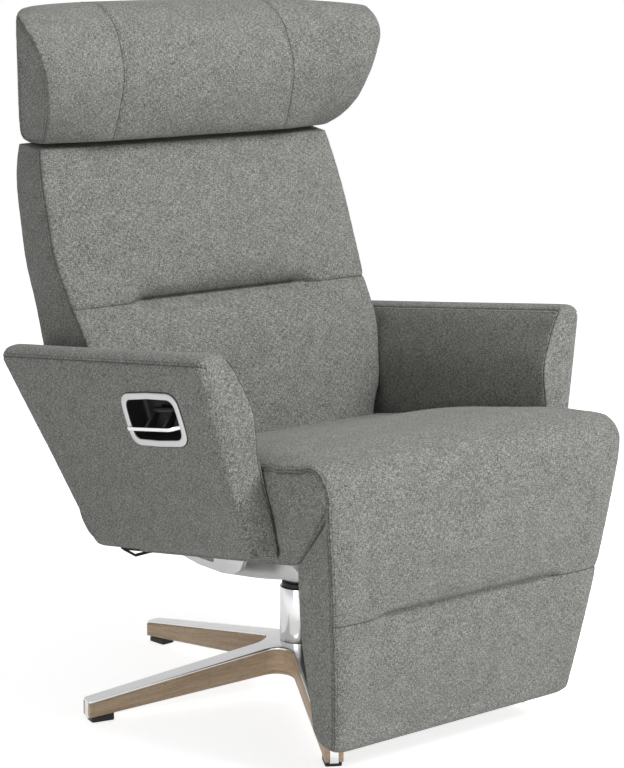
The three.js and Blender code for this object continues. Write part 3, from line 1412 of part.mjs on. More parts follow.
// How far out the arm's outer face lies at a place
function armFaceAt(y, z) {
  const front = lerp(armCorner.frontBottom.y, armCorner.frontTop.y, cupShare);
  const rear = lerp(armCorner.rearBottom.y, armCorner.rearTop.y, cupShare);
  const station = (y - front) / (rear - front);
  const low = lerp(armCorner.frontBottom.z, armCorner.rearBottom.z, station);
  const high = lerp(armCorner.frontTop.z, armCorner.rearTop.z, station);
  return lerp(armOuterLow, armOuterTop, (z - low) / (high - low));
}

function armFaceMatrix() {
  const y = -cup.aheadOfColumn;
  const out = armFaceAt(y, cupHeight);
  const step = cup.length / 2;
  const forward = new THREE.Vector3(out - armFaceAt(y - step, cupHeight), -step, 0).normalize();
  const up = new THREE.Vector3(out - armFaceAt(y, cupHeight + step), 0, step);
  const outwards = new THREE.Vector3().crossVectors(forward, up).normalize();
  up.crossVectors(outwards, forward);
  const basis = new THREE.Matrix4().makeBasis(outwards, forward, up);
  return basis.multiply(new THREE.Matrix4().makeRotationX(cup.turn)).setPosition(-out, y, cupHeight);
}
const faceMatrix = armFaceMatrix();
const onArmFace = (geometry) => geometry.applyMatrix4(faceMatrix);

function cupOutline(inset) {
  const [reach, rise] = [cup.length / 2 - inset, cup.tall / 2 - inset];
  const radius = cup.cornerRadius - inset;
  const corners = [[-1, -1], [1, -1], [1, 1], [-1, 1]];
  const outline = rounded(corners.map(([x, y]) => ({ x: x * reach, y: y * rise, radius })), cornerSteps);
  return outline.map((point) => ({ y: point.x, z: point.y }));
}
const cupSlab = (inset, out) => solid(onArmFace(sidePlate(cupOutline(inset), out)));
const shellInset = cup.rimWidth - cup.wall;

const buildRim = () => cut(cupSlab(0, [fitGap, cup.rimProud]),
  [cupSlab(cup.rimWidth, [-cutOverrun, cup.rimProud + cutOverrun])]);

function buildCup() {
  const shell = cut(cupSlab(shellInset, [-cup.depth, 0]),
    [cupSlab(cup.rimWidth, [-cup.depth + cup.wall, cutOverrun])]);
  return cut(shell.add(union([-1, 1].map(cupEar))), [solid(leverPinRod(fitGap, cutOverrun))]);
}

// Local places on the arm's face: out of it, forwards and up
const faceRod = (radius, from, to, count) =>
  onArmFace(rod(radius, new THREE.Vector3(...from), new THREE.Vector3(...to), count));
const earNear = lever.armSpan / 2 + lever.armWidth / 2 + fitGap;
const earFar = earNear + lever.earThickness;

// An ear on the cup's floor that carries the lever's pin
function cupEar(end) {
  const y = end < 0 ? [-earFar, -earNear] : [earNear, earFar];
  const foot = block([-cup.depth + cup.wall / 2, -lever.pinBehind], y,
    [lever.pinAbove - lever.armRadius, lever.pinAbove + lever.armRadius]);
  const at = (across) => [-lever.pinBehind, across, lever.pinAbove];
  const eye = faceRod(lever.armRadius, at(y[0]), at(y[1]), bolt.sides);
  return solid(onArmFace(foot)).add(solid(eye));
}

const leverPinRod = (gap, past) =>
  faceRod(lever.pinRadius + gap, [-lever.pinBehind, -earFar - past, lever.pinAbove],
    [-lever.pinBehind, earFar + past, lever.pinAbove], bolt.sides);

// The bar lies over the rim at its rear end and hooks into the cup at its front end
function buildLeverBar() {
  const inner = cup.rimProud + lever.barClear;
  const outer = inner + lever.barThickness;
  const hookInner = inner - lever.hookDepth;
  const outline = rounded([
    { x: inner, y: -lever.rearReach, radius: 0 },
    { x: outer, y: -lever.rearReach, radius: lever.barThickness / 2 },
    { x: outer, y: lever.frontReach, radius: lever.barThickness },
    { x: hookInner + lever.barThickness, y: lever.hookReach, radius: 0 },
    { x: hookInner, y: lever.hookReach - lever.barThickness / 2, radius: 0 },
    { x: inner, y: lever.frontReach - lever.barThickness / 2, radius: lever.barThickness },
  ], cornerSteps);
  return solid(onArmFace(plan(outline, [-lever.barBelow, lever.barHeight - lever.barBelow])));
}

// Two arms from a barrel on the pin to the back of the bar
function buildLeverArms() {
  const half = lever.armWidth / 2;
  const end = lever.armSpan / 2 + half;
  const barrel = faceRod(lever.armRadius, [-lever.pinBehind, -end, lever.pinAbove],
    [-lever.pinBehind, end, lever.pinAbove], bolt.sides);
  const barBack = cup.rimProud + lever.barClear - fitGap;
  const points = [
    { x: -lever.pinBehind - lever.armRadius, z: lever.pinAbove },
    { x: barBack - lever.hookDepth, z: -lever.barBelow }, { x: barBack, z: -lever.barBelow },
    { x: barBack, z: lever.barHeight - lever.barBelow }, { x: -lever.pinBehind + lever.armRadius, z: lever.pinAbove },
  ];
  const arms = [-1, 1].map((turn) => {
    const middle = turn * (lever.armSpan / 2);
    return onArmFace(frontPlate(points, [middle - half, middle + half]));
  });
  return cut(union([barrel, ...arms].map(solid)), [solid(leverPinRod(fitGap, cutOverrun))]);
}

// Release cable: from under the cup down inside the arm, below the seat frame and up to the gas spring

const facePoint = (out, forwards, up) => new THREE.Vector3(out, forwards, up).applyMatrix4(faceMatrix);

function cableRoute() {
  const drop = cup.tall / 2 - shellInset + fitGap;
  const start = facePoint(-cup.depth + cable.fromFloor, 0, -drop);
  const run = facePoint(-cup.depth + cable.fromFloor, 0, -drop - cableRoom.cupExit);
  const inArm = -panelFar - cableRoom.panel;
  const under = seatAt(railRear - cableRoom.railEnd, -cable.under);
  const end = new THREE.Vector3(gas.x - gas.radius - fitGap, gas.front + cableRoom.clampInset, gasAxis.z);
  const at = (x, y, z) => new THREE.Vector3(x, y, z);
  return [
    start, run,
    at(inArm, start.y + cableRoom.forward, start.z - cableRoom.inArm),
    at(inArm, lerp(start.y, under.y, cableShares.down), lerp(start.z, under.z, cableShares.lower)),
    at(inArm, under.y - cableRoom.beforeFrame, under.z + cableRoom.aboveFrame),
    at(-armInner - cableRoom.underArm, under.y, under.z + cableRoom.lowRise),
    at(-earInner, under.y, under.z), at(-railInner, under.y, under.z), at(-gas.x, under.y, under.z),
    at(0, lerp(under.y, end.y, cableShares.across), lerp(under.z, end.z, cableShares.across)),
    at(end.x - cableRoom.clampLead, end.y, end.z), end,
  ];
}

function cableTube(gap) {
  const shape = new THREE.Shape(Array.from({ length: cable.sides }, (_, i) => {
    const angle = (fullTurn * i) / cable.sides;
    return new THREE.Vector2(Math.cos(angle), Math.sin(angle)).multiplyScalar(cable.radius + gap);
  }));
  const path = new THREE.CatmullRomCurve3(cableRoute());
  return new THREE.ExtrudeGeometry(shape, { steps: cable.steps, extrudePath: path, bevelEnabled: false });
}

function buildArm(side) {
  const left = solid(armLoft());
  const body = side > 0 ? left : mirroredX(left);
  const cuts = [armPanelSolid(side, fitGap), armOpening(side)];
  if (side < 0) {
    cuts.push(cupSlab(shellInset - fitGap, [-cup.depth - fitGap, cup.tall]));
    cuts.push(cupSlab(-fitGap, [0, cup.tall]));
    cuts.push(solid(cableTube(cable.sheathGap)));
  }
  return cut(body, cuts);
}

for (const [name, side] of sides) {
  add(`arm_${name}`, geometryOf(buildArm(side)), finishes.wool);
  add(`arm_panel_${name}`, geometryOf(armPanelSolid(side, 0)), finishes.plywood);
  add(`arm_bolt_${name}_front`, geometryOf(armBolt(side, outriggerPlaces[0], 0)), finishes.steel);
  add(`arm_bolt_${name}_rear`, geometryOf(armBolt(side, outriggerPlaces[1], 0)), finishes.steel);
}
add('lever_rim', geometryOf(buildRim()), finishes.satin);
add('lever_cup', geometryOf(buildCup()), finishes.black);
add('lever_handle', geometryOf(buildLeverBar()), finishes.polished);
add('lever_arms', geometryOf(buildLeverArms()), finishes.black);
add('lever_pin', geometryOf(solid(leverPinRod(0, 0))), finishes.steel);
add('release_cable', cableTube(0), finishes.black);

export default chair;
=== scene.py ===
"""Star base swivel recliner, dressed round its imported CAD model. Sizes are in millimetres until a mesh is made."""

import json
import logging
import math
from collections.abc import Callable
from dataclasses import dataclass
from enum import Enum

import bmesh
import bpy
import numpy as np
from mathutils import Matrix, Vector
from mathutils.bvhtree import BVHTree
from mathutils.kdtree import KDTree


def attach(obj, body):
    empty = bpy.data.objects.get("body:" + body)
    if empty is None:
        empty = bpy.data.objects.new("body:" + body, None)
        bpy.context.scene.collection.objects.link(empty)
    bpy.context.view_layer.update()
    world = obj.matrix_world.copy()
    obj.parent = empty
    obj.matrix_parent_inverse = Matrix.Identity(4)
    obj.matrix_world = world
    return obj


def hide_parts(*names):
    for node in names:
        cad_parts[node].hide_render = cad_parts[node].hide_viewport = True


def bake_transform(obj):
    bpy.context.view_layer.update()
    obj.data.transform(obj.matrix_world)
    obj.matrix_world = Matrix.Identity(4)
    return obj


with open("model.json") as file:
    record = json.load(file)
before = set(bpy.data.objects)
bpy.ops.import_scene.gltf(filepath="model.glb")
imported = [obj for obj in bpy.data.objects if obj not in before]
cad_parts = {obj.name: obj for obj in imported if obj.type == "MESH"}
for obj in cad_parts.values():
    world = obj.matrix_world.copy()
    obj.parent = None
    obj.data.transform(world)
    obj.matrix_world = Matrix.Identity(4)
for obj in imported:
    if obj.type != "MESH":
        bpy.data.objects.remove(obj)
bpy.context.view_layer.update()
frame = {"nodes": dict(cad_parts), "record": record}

MM = 0.001
SETBACK = 22.0
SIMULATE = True
LOG = logging.getLogger("recliner")
FRAMES = (1, 20)
WELD, SOFT_WELD, STRIP_WELD = 1e-6, 2e-5, 1e-5
Numbers = float | np.ndarray


class Body(Enum):
    """The moving bodies of the chair, by their names in the frame."""

    BASE = "base"
    CHAIR = "chair"
    BACKREST = "backrest"
    HEADREST = "headrest"
    FOOTREST = "footrest"
    LEVER = "lever"


class Side(Enum):
    """The sitter's right and left, by the sign of X."""

    RIGHT = -1
    LEFT = 1

    @property
    def word(self) -> str:
        """The side's word in a piece's name."""
        return self.name.lower()


# Curves and tables


def lerp(start: Numbers, stop: Numbers, share: Numbers) -> Numbers:
    """The value at a share of the way from start to stop."""
    return start + (stop - start) * share


def smooth(value: Numbers, start: float, stop: float) -> Numbers:
    """Rises softly from 0 at start to 1 at stop."""
    share = np.clip((np.asarray(value, float) - start) / (stop - start), 0, 1)
    return share * share * (3 - 2 * share)


def bell(distance: Numbers, spread: float) -> Numbers:
    """Falls from 1 in the middle to both sides, over a spread."""
    return np.exp(-(np.asarray(distance, float) / spread) ** 2)


def sample(table: tuple, place: Numbers) -> Numbers:
    """Reads a table of places and values along a smooth curve.

    Args:
        table: Rows of place and value.
        place: Where to read it.

    Returns:
        The value at each place.
    """
    knots, values = np.array(table, float).T
    slopes = np.gradient(values, knots)
    at = np.clip(place, knots[0], knots[-1])
    i = np.clip(np.searchsorted(knots, at, side="right") - 1, 0, len(knots) - 2)
    width = knots[i + 1] - knots[i]
    t = (at - knots[i]) / width
    return ((2 * t**3 - 3 * t**2 + 1) * values[i] + (t**3 - 2 * t**2 + t) * width * slopes[i]
            + (3 * t**2 - 2 * t**3) * values[i + 1] + (t**3 - t**2) * width * slopes[i + 1])


def lengths(points: np.ndarray) -> np.ndarray:
    """Running length along a row of points, up to each of them."""
    steps = np.linalg.norm(np.diff(points, axis=0), axis=1)
    return np.concatenate([[0.0], np.cumsum(steps)])


def respaced(points: np.ndarray, shares: np.ndarray) -> np.ndarray:
    """Points at given shares of a line's length."""
    run = lengths(points)
    return np.stack([np.interp(shares * run[-1], run, column) for column in points.T], axis=1)


def evenly(points: np.ndarray, steps: int) -> np.ndarray:
    """The points that part a line into equal steps, without the last one."""
    return respaced(points, np.linspace(0, 1, steps + 1))[:-1]


def drawn_in(ring: np.ndarray, distance: Numbers) -> np.ndarray:
    """A ring with its points moved towards their middle."""
    inwards = ring.mean(axis=0) - ring
    return ring + inwards / np.linalg.norm(inwards, axis=1)[:, None] * distance


def spaced(stops: tuple, step: float, near: tuple = (1.3, 3.2, 6.5)) -> np.ndarray:
    """Places from the first stop to the last, closer together beside each stop, where a seam runs.

    Args:
        stops: Places that are always kept.
        step: Widest spacing between places.
        near: Distances of the close places from a stop.

    Returns:
        The places in order.
    """
    places = []
    for low, high in zip(stops, stops[1:]):
        close = [gap for gap in near if gap < (high - low) / 2 - 1]
        inner = close[-1] if close else 0.0
        count = max(1, round((high - low - 2 * inner) / step))
        places += [low, *[low + gap for gap in close[:-1]]]
        places += list(np.linspace(low + inner, high - inner, count + 1)[0 if close else 1:])
        places += [high - gap for gap in reversed(close[:-1])]
        if not close:
            places.pop()
    return np.array(places + [stops[-1]])


def rounded_off(distance: Numbers, radius: float) -> Numbers:
    """How far a rounded surface falls back: 1 at its edge, 0 from the radius inwards."""
    return 1 - np.sqrt(1 - (1 - np.clip(np.asarray(distance, float) / radius, 0, 1)) ** 2)


def rounded_outline(corners: list, steps: int) -> tuple:
    """A closed outline with rounded corners.

    Args:
        corners: Corner places with a radius each.
        steps: Points of each rounding.

    Returns:
        The outline's points, and the index of each corner's middle point.
    """
    points, middles = [], []
    for i, (*place, radius) in enumerate(corners):
        corner = np.array(place, float)
        ends = []
        for other in (corners[i - 1][:-1], corners[(i + 1) % len(corners)][:-1]):
            away = np.array(other, float) - corner
            reach = min(radius, np.linalg.norm(away) / 2)
            ends.append(corner + away / np.linalg.norm(away) * reach)
        middles.append(len(points) + steps // 2)
        for t in np.linspace(0, 1, steps + 1):
            points.append((1 - t) ** 2 * ends[0] + 2 * t * (1 - t) * corner + t**2 * ends[1])
    return np.array(points), middles


def turned_by(angle: float, along: Numbers, across: Numbers) -> np.ndarray:
    """X and Y of places along a direction in plan and across it, to its left."""
    along, across = np.broadcast_arrays(np.asarray(along, float), np.asarray(across, float))
    return np.stack([math.cos(angle) * along - math.sin(angle) * across,
                     math.sin(angle) * along + math.cos(angle) * across], axis=-1)


def placed(points: np.ndarray) -> np.ndarray:
    """Millimetres from the swivel axis as metres in the frame."""
    return (np.asarray(points, float) + (0, SETBACK, 0)) * MM


# Finishes


class Shade:
    """The node tree of a finish or of the surround, being written."""

    def __init__(self, owner: bpy.types.Material | bpy.types.World) -> None:
        """Starts on a material's or a world's own nodes."""
        owner.use_nodes = True
        self.owner, self.tree = owner, owner.node_tree
        self.shader = self.tree.nodes.get("Principled BSDF")

    @classmethod
    def named(cls, name: str) -> "Shade":
        """Starts a new material."""
        return cls(bpy.data.materials.new(name))

    def node(self, kind: str, inputs: dict | None = None, **settings) -> bpy.types.Node:
        """Adds a node.

        Args:
            kind: Node type.
            inputs: Values or sockets by input name or index.
            settings: Properties of the node.

        Returns:
            The node.
        """
        made = self.tree.nodes.new(kind)
        for name, value in settings.items():
            setattr(made, name, value)
        for key, value in (inputs or {}).items():
            self.put(made.inputs[key], value)
        return made

    def put(self, socket: bpy.types.NodeSocket, value: object) -> None:
        """Links or sets a socket.

        Args:
            socket: The input.
            value: Another socket, a number or a colour.
        """
        if isinstance(value, bpy.types.NodeSocket):
            self.tree.links.new(value, socket)
        else:
            socket.default_value = value

    def math(self, operation: str, first: object, second: object = 0.0) -> bpy.types.NodeSocket:
        """A Math node's result."""
        return self.node("ShaderNodeMath", {0: first, 1: second}, operation=operation).outputs[0]

    def place(self, scale: tuple = (1, 1, 1), uv: bool = False) -> bpy.types.NodeSocket:
        """Scaled coordinates for a pattern: the piece's own UV map, or Object coordinates."""
        source = (self.node("ShaderNodeUVMap", uv_map="cloth").outputs["UV"] if uv
                  else self.node("ShaderNodeTexCoord").outputs["Object"])
        return self.node("ShaderNodeMapping", {"Vector": source, "Scale": scale}).outputs[0]

    def noise(self, vector: bpy.types.NodeSocket, scale: float, detail: float = 2.0,
              roughness: float = 0.5) -> bpy.types.NodeSocket:
        """Noise around one half, of so many features in a metre."""
        inputs = {"Vector": vector, "Scale": scale, "Detail": detail, "Roughness": roughness}
        return self.node("ShaderNodeTexNoise", inputs).outputs["Fac"]

    def ramp(self, factor: bpy.types.NodeSocket, stops: list) -> bpy.types.NodeSocket:
        """A colour ramp.

        Args:
            factor: What it reads.
            stops: Rows of place and colour.

        Returns:
            The colour socket.
        """
        made = self.node("ShaderNodeValToRGB", {0: factor})
        elements = made.color_ramp.elements
        while len(elements) < len(stops):
            elements.new(0.5)
        for element, (position, colour) in zip(elements, stops):
            element.position = position
            element.color = colour
        return made.outputs["Color"]

    def mix(self, factor: object, first: object, second: object) -> bpy.types.NodeSocket:
        """A mix of two colours, by the share of the second."""
        inputs = {"Factor": factor, 6: first, 7: second}
        return self.node("ShaderNodeMix", inputs, data_type="RGBA").outputs[2]

    def spread(self, factor: bpy.types.NodeSocket, low: float, high: float) -> bpy.types.NodeSocket:
        """Maps 0 to 1 onto another range."""
        return self.node("ShaderNodeMapRange", {0: factor, 3: low, 4: high}).outputs[0]

    def bump(self, height: bpy.types.NodeSocket, distance: float,
             before: bpy.types.NodeSocket | None = None) -> bpy.types.NodeSocket:
        """A bump normal.

        Args:
            height: Height socket.
            distance: Metres for a height of 1.
            before: Normal of a coarser bump.

        Returns:
            The normal socket.
        """
        made = self.node("ShaderNodeBump", {"Height": height, "Distance": distance, "Strength": 1.0})
        if before is not None:
            self.put(made.inputs["Normal"], before)
        return made.outputs["Normal"]

    def finish(self, colour: object, roughness: object, normal: bpy.types.NodeSocket,
               **constants) -> bpy.types.Material:
        """Sets the shader.

        Args:
            colour: Base colour.
            roughness: Roughness.
            normal: Bump normal.
            constants: Values of other shader inputs, with underscores for spaces.

        Returns:
            The finished material.
        """
        self.put(self.shader.inputs["Base Color"], colour)
        self.put(self.shader.inputs["Roughness"], roughness)
        self.put(self.shader.inputs["Normal"], normal)
        for name, value in constants.items():
            self.shader.inputs[name.replace("_", " ")].default_value = value
        return self.owner


def srgb(red: float, green: float, blue: float) -> tuple:
    """A display colour in 0 to 255 as a linear colour."""
    linear = [c / 12.92 if c <= 0.04045 else ((c + 0.055) / 1.055) ** 2.4
              for c in (red / 255, green / 255, blue / 255)]
    return (*linear, 1.0)


@dataclass(frozen=True)
class WoolFinish:
    """Melange wool: grey yarns of several tones, a close plain weave and a soft nap, with shade painted into the seams'
    grooves.
    """

    dark: tuple = (86, 87, 83)
    middle: tuple = (134, 135, 130)
    light: tuple = (186, 187, 181)
    # The seam tone and its share below paint shade into the cloth in the seams' grooves.
    seam: tuple = (38, 39, 37)
    seam_share: float = 0.85
    fleck: float = 640.0
    yarn: float = 740.0
    cloud: float = 42.0
    nap: float = 900.0
    wrinkle: float = 30.0
    thread: float = 0.0016

    def material(self) -> bpy.types.Material:
        """Writes the cloth's material."""
        shade = Shade.named("melange_wool")
        solid, flat = shade.place(), shade.place(uv=True)
        fleck = shade.noise(solid, self.fleck, 2.0, 0.65)
        yarns = [shade.noise(shade.place(stretch, uv=True), self.yarn, 2.0, 0.6)
                 for stretch in ((0.22, 1.0, 1.0), (1.0, 0.22, 1.0))]
        cloud = shade.noise(solid, self.cloud, 2.0, 0.55)
        tone = shade.math("ADD", shade.math("MULTIPLY", fleck, 0.34),
                          shade.math("MULTIPLY", shade.math("ADD", *yarns), 0.33))
        tone = shade.math("ADD", tone, shade.spread(cloud, -0.035, 0.035))
        colour = shade.ramp(tone, [(0.41, srgb(*self.dark)), (0.5, srgb(*self.middle)), (0.59, srgb(*self.light))])
        # Painted shade: the cloth darkens towards the seam tone where the seam attribute marks a groove.
        shade_at_seam = shade.node("ShaderNodeAttribute", attribute_name="seam").outputs["Fac"]
        colour = shade.mix(shade.math("MULTIPLY", shade_at_seam, self.seam_share), colour, srgb(*self.seam))
        waves = [shade.node("ShaderNodeTexWave", {"Vector": flat, "Scale": 0.314 / self.thread, "Distortion": 1.2,
                                                  "Detail": 1.0, "Detail Scale": 1.5},
                            bands_direction=way).outputs["Fac"] for way in ("X", "Y")]
        weave = shade.math("MULTIPLY", *waves)
        nap = shade.noise(solid, self.nap, 3.0, 0.7)
        height = shade.math("ADD", shade.math("MULTIPLY", weave, 0.6), shade.math("MULTIPLY", nap, 0.5))
        wrinkle = shade.bump(shade.noise(solid, self.wrinkle, 2.0, 0.5), 0.0007)
        normal = shade.bump(height, 0.0006, before=wrinkle)
        return shade.finish(colour, shade.spread(nap, 0.86, 0.98), normal, Specular_IOR_Level=0.18,
                            Sheen_Weight=0.22, Sheen_Roughness=0.55)


@dataclass(frozen=True)
class ThreadFinish:
    """Sewing thread, a shade darker than the wool."""

    tone: tuple = (92, 93, 89)

    def material(self) -> bpy.types.Material:
        """Writes the thread's material."""
        shade = Shade.named("sewing_thread")
        twist = shade.noise(shade.place(), 1600.0, 1.0)
        dark = tuple(0.72 * c for c in self.tone)
        return shade.finish(shade.mix(twist, srgb(*dark), srgb(*self.tone)), 0.7,
                            shade.bump(twist, 0.0003), Sheen_Weight=0.1)


@dataclass(frozen=True)
class OakFinish:
    """Oiled oak bent along its length: rays, pores and slow changes of tone along the grain."""

    pale: tuple = (247, 224, 196)
    deep: tuple = (202, 166, 131)

    def material(self) -> bpy.types.Material:
        """Writes the wood's material, with its grain along the piece's first UV direction."""
        shade = Shade.named("oiled_oak")
        grain = shade.noise(shade.place((7.0, 190.0, 1.0), uv=True), 3.0, 4.0, 0.6)
        bands = shade.noise(shade.place((2.4, 46.0, 1.0), uv=True), 2.0, 2.0)
        pores = shade.noise(shade.place((45.0, 900.0, 1.0), uv=True), 2.0, 1.0)
        tone = shade.math("ADD", shade.math("MULTIPLY", grain, 0.6), shade.math("MULTIPLY", bands, 0.4))
        colour = shade.ramp(tone, [(0.36, srgb(*self.deep)), (0.5, srgb(233, 204, 172)), (0.64, srgb(*self.pale))])
        pore = shade.ramp(pores, [(0.36, (1, 1, 1, 1)), (0.46, (0, 0, 0, 1))])
        colour = shade.mix(shade.math("MULTIPLY", pore, 0.35), colour, srgb(132, 102, 76))
        height = shade.math("SUBTRACT", tone, shade.math("MULTIPLY", pore, 0.6))
        return shade.finish(colour, shade.spread(grain, 0.42, 0.6), shade.bump(height, 0.0003),
                            Coat_Weight=0.12, Coat_Roughness=0.35)


@dataclass(frozen=True)
class MetalFinish:
    """Bare or plated metal with a fine finishing pattern, smudges and rubbed places."""

    name: str
    tone: tuple
    roughness: tuple
    brush: tuple = (60.0, 60.0, 60.0)
    relief: float = 0.00002

    def material(self) -> bpy.types.Material:
        """Writes the metal's material."""
        shade = Shade.named(self.name)
        brushed = shade.noise(shade.place(self.brush), 8.0, 3.0, 0.6)
        smudge = shade.noise(shade.place(), 22.0, 3.0, 0.55)
        mixed = shade.math("ADD", shade.math("MULTIPLY", brushed, 0.5), shade.math("MULTIPLY", smudge, 0.5))
        worn = tuple(0.9 * c for c in self.tone)
        colour = shade.mix(smudge, srgb(*worn), srgb(*self.tone))
        return shade.finish(colour, shade.spread(mixed, *self.roughness), shade.bump(brushed, self.relief),
                            Metallic=1.0)


@dataclass(frozen=True)
class CoatedFinish:
    """Powder coat, moulded plastic or other dull skins with a fine grain and rubbed places."""

    name: str
    tone: tuple
    roughness: tuple
    grain: float = 900.0
    relief: float = 0.0001

    def material(self) -> bpy.types.Material:
        """Writes the coating's material."""
        shade = Shade.named(self.name)
        grain = shade.noise(shade.place(), self.grain, 2.0, 0.6)
        rubbed = shade.noise(shade.place(), 26.0, 3.0, 0.6)
        paler = tuple(c + 9 for c in self.tone)
        return shade.finish(shade.mix(rubbed, srgb(*self.tone), srgb(*paler)), shade.spread(rubbed, *self.roughness),
                            shade.bump(grain, self.relief), Specular_IOR_Level=0.4)


@dataclass(frozen=True)
class PlywoodFinish:
    """Raw birch plywood: long grain on the faces, thin layers across its edges."""

    def material(self) -> bpy.types.Material:
        """Writes the plywood's material."""
        shade = Shade.named("birch_plywood")
        grain = shade.noise(shade.place((60.0, 5.0, 30.0)), 6.0, 4.0, 0.6)
        layers = shade.node("ShaderNodeTexWave", {"Vector": shade.place(), "Scale": 110.0, "Distortion": 0.6},
                            bands_direction="X").outputs["Fac"]
        tone = shade.math("ADD", shade.math("MULTIPLY", grain, 0.75), shade.math("MULTIPLY", layers, 0.25))
        colour = shade.ramp(tone, [(0.35, srgb(172, 138, 98)), (0.65, srgb(214, 184, 142))])
        return shade.finish(colour, 0.72, shade.bump(grain, 0.0002))


@dataclass(frozen=True)
class WebbingFinish:
    """Elastic webbing with ribs along its length and a herringbone face."""

    def material(self) -> bpy.types.Material:
        """Writes the webbing's material."""
        shade = Shade.named("elastic_webbing")
        ribs = [shade.node("ShaderNodeTexWave", {"Vector": shade.place(), "Scale": scale, "Distortion": 0.4},
                           bands_direction=way).outputs["Fac"] for way, scale in (("Y", 90.0), ("X", 150.0))]
        weave = shade.math("MULTIPLY", *ribs)
        return shade.finish(shade.mix(weave, srgb(34, 34, 34), srgb(66, 66, 64)), 0.85,
                            shade.bump(weave, 0.0004), Sheen_Weight=0.1)


class Palette:
    """Every finish of the chair, made once, under the names of the record's slots."""

    def __init__(self) -> None:
        """Writes the materials."""
        self.wool = WoolFinish().material()
        self.thread = ThreadFinish().material()
        self.oak = OakFinish().material()
        self.polished = MetalFinish("polished_aluminium", (226, 226, 226), (0.09, 0.2)).material()
        self.rod_chrome = MetalFinish("bright_chrome", (228, 228, 230), (0.04, 0.12)).material()
        self.satin = MetalFinish("satin_aluminium", (196, 196, 196), (0.3, 0.42), (9.0, 120.0, 120.0)).material()
        self.steel = MetalFinish("zinc_plated_steel", (168, 170, 174), (0.3, 0.5)).material()
        self.black_plastic = CoatedFinish("black_plastic", (18, 18, 18), (0.42, 0.6)).material()
        self.black_paint = CoatedFinish("black_powder_coat", (26, 26, 26), (0.45, 0.62), 420.0, 0.0002).material()
        self.plywood = PlywoodFinish().material()
        self.webbing = WebbingFinish().material()


# Meshes


def grid(bm: bmesh.types.BMesh, points: np.ndarray, uv: np.ndarray | None = None,
         ease: np.ndarray | None = None) -> None:
    """Adds a grid of quads and sets its points.

    Args:
        bm: The mesh.
        points: Rows and columns of places in millimetres from the swivel axis.
        uv: Place of each point on the flat cloth, in metres.
        ease: How far the cloth may move at each point, from 0 to 1.
    """
    rows, columns = points.shape[:2]
    softness = bm.verts.layers.float.get("ease") or bm.verts.layers.float.new("ease")
    layer = bm.loops.layers.uv.get("cloth") or bm.loops.layers.uv.new("cloth")
    verts = bmesh.ops.create_grid(bm, x_segments=columns - 1, y_segments=rows - 1, size=1)["verts"]
    for vert, place in zip(verts, placed(points).reshape(-1, 3)):
        vert.co = place
    if ease is not None:
        for vert, amount in zip(verts, ease.reshape(-1)):
            vert[softness] = amount
    if uv is not None:
        flat = {vert: tuple(pair) for vert, pair in zip(verts, uv.reshape(-1, 2))}
        for face in {face for vert in verts for face in vert.link_faces}:
            for loop in face.loops:
                loop[layer].uv = flat[loop.vert]


def weld(bm: bmesh.types.BMesh, distance: float = WELD, fill: bool = False) -> None:
    """Merges doubled points and turns the faces outwards.

    Args:
        bm: The mesh.
        distance: Metres within which points are one.
        fill: Whether open ends are filled.
    """
    bmesh.ops.remove_doubles(bm, verts=bm.verts[:], dist=distance)
    if fill:
        bmesh.ops.holes_fill(bm, edges=[edge for edge in bm.edges if edge.is_boundary], sides=0)
    bmesh.ops.recalc_face_normals(bm, faces=bm.faces[:])


def shade_round(mesh: bpy.types.Mesh, sharp: float | None = None) -> None:
    """Shades a mesh smooth, but for its edges past an angle in degrees."""
    mesh.polygons.foreach_set("use_smooth", [True] * len(mesh.polygons))
    if sharp is not None:
        mesh.set_sharp_from_angle(angle=math.radians(sharp))


def patch(ring: np.ndarray, long: int, short: int) -> np.ndarray:
    """A grid that fills a closed ring of four sides.

    Args:
        ring: The ring's points, starting at a corner, the long sides first and third.
        long: Steps of the long sides.
        short: Steps of the short sides.

    Returns:
        Rows and columns of points.
    """
    closed = np.concatenate([ring, ring[:1]])
    low, right = closed[:long + 1], closed[long:long + short + 1]
    high = closed[long + short:2 * long + short + 1][::-1]
    left = closed[2 * long + short:][::-1]
    u = ((lengths(low) / lengths(low)[-1] + lengths(high) / lengths(high)[-1]) / 2)[None, :, None]
    v = ((lengths(left) / lengths(left)[-1] + lengths(right) / lengths(right)[-1]) / 2)[:, None, None]
    corners = (1 - u) * (1 - v) * low[0] + u * (1 - v) * low[-1] + (1 - u) * v * high[0] + u * v * high[-1]
    return (1 - v) * low[None] + v * high[None] + (1 - u) * left[:, None] + u * right[:, None] - corners


def pillow(rows: int, columns: int, power: float = 0.6) -> np.ndarray:
    """The height of a pillow over a grid, 0 round its border and 1 in the middle."""
    u = np.linspace(0, 1, columns)[None, :]
    v = np.linspace(0, 1, rows)[:, None]
    return np.clip(16 * u * (1 - u) * v * (1 - v), 0, 1) ** power


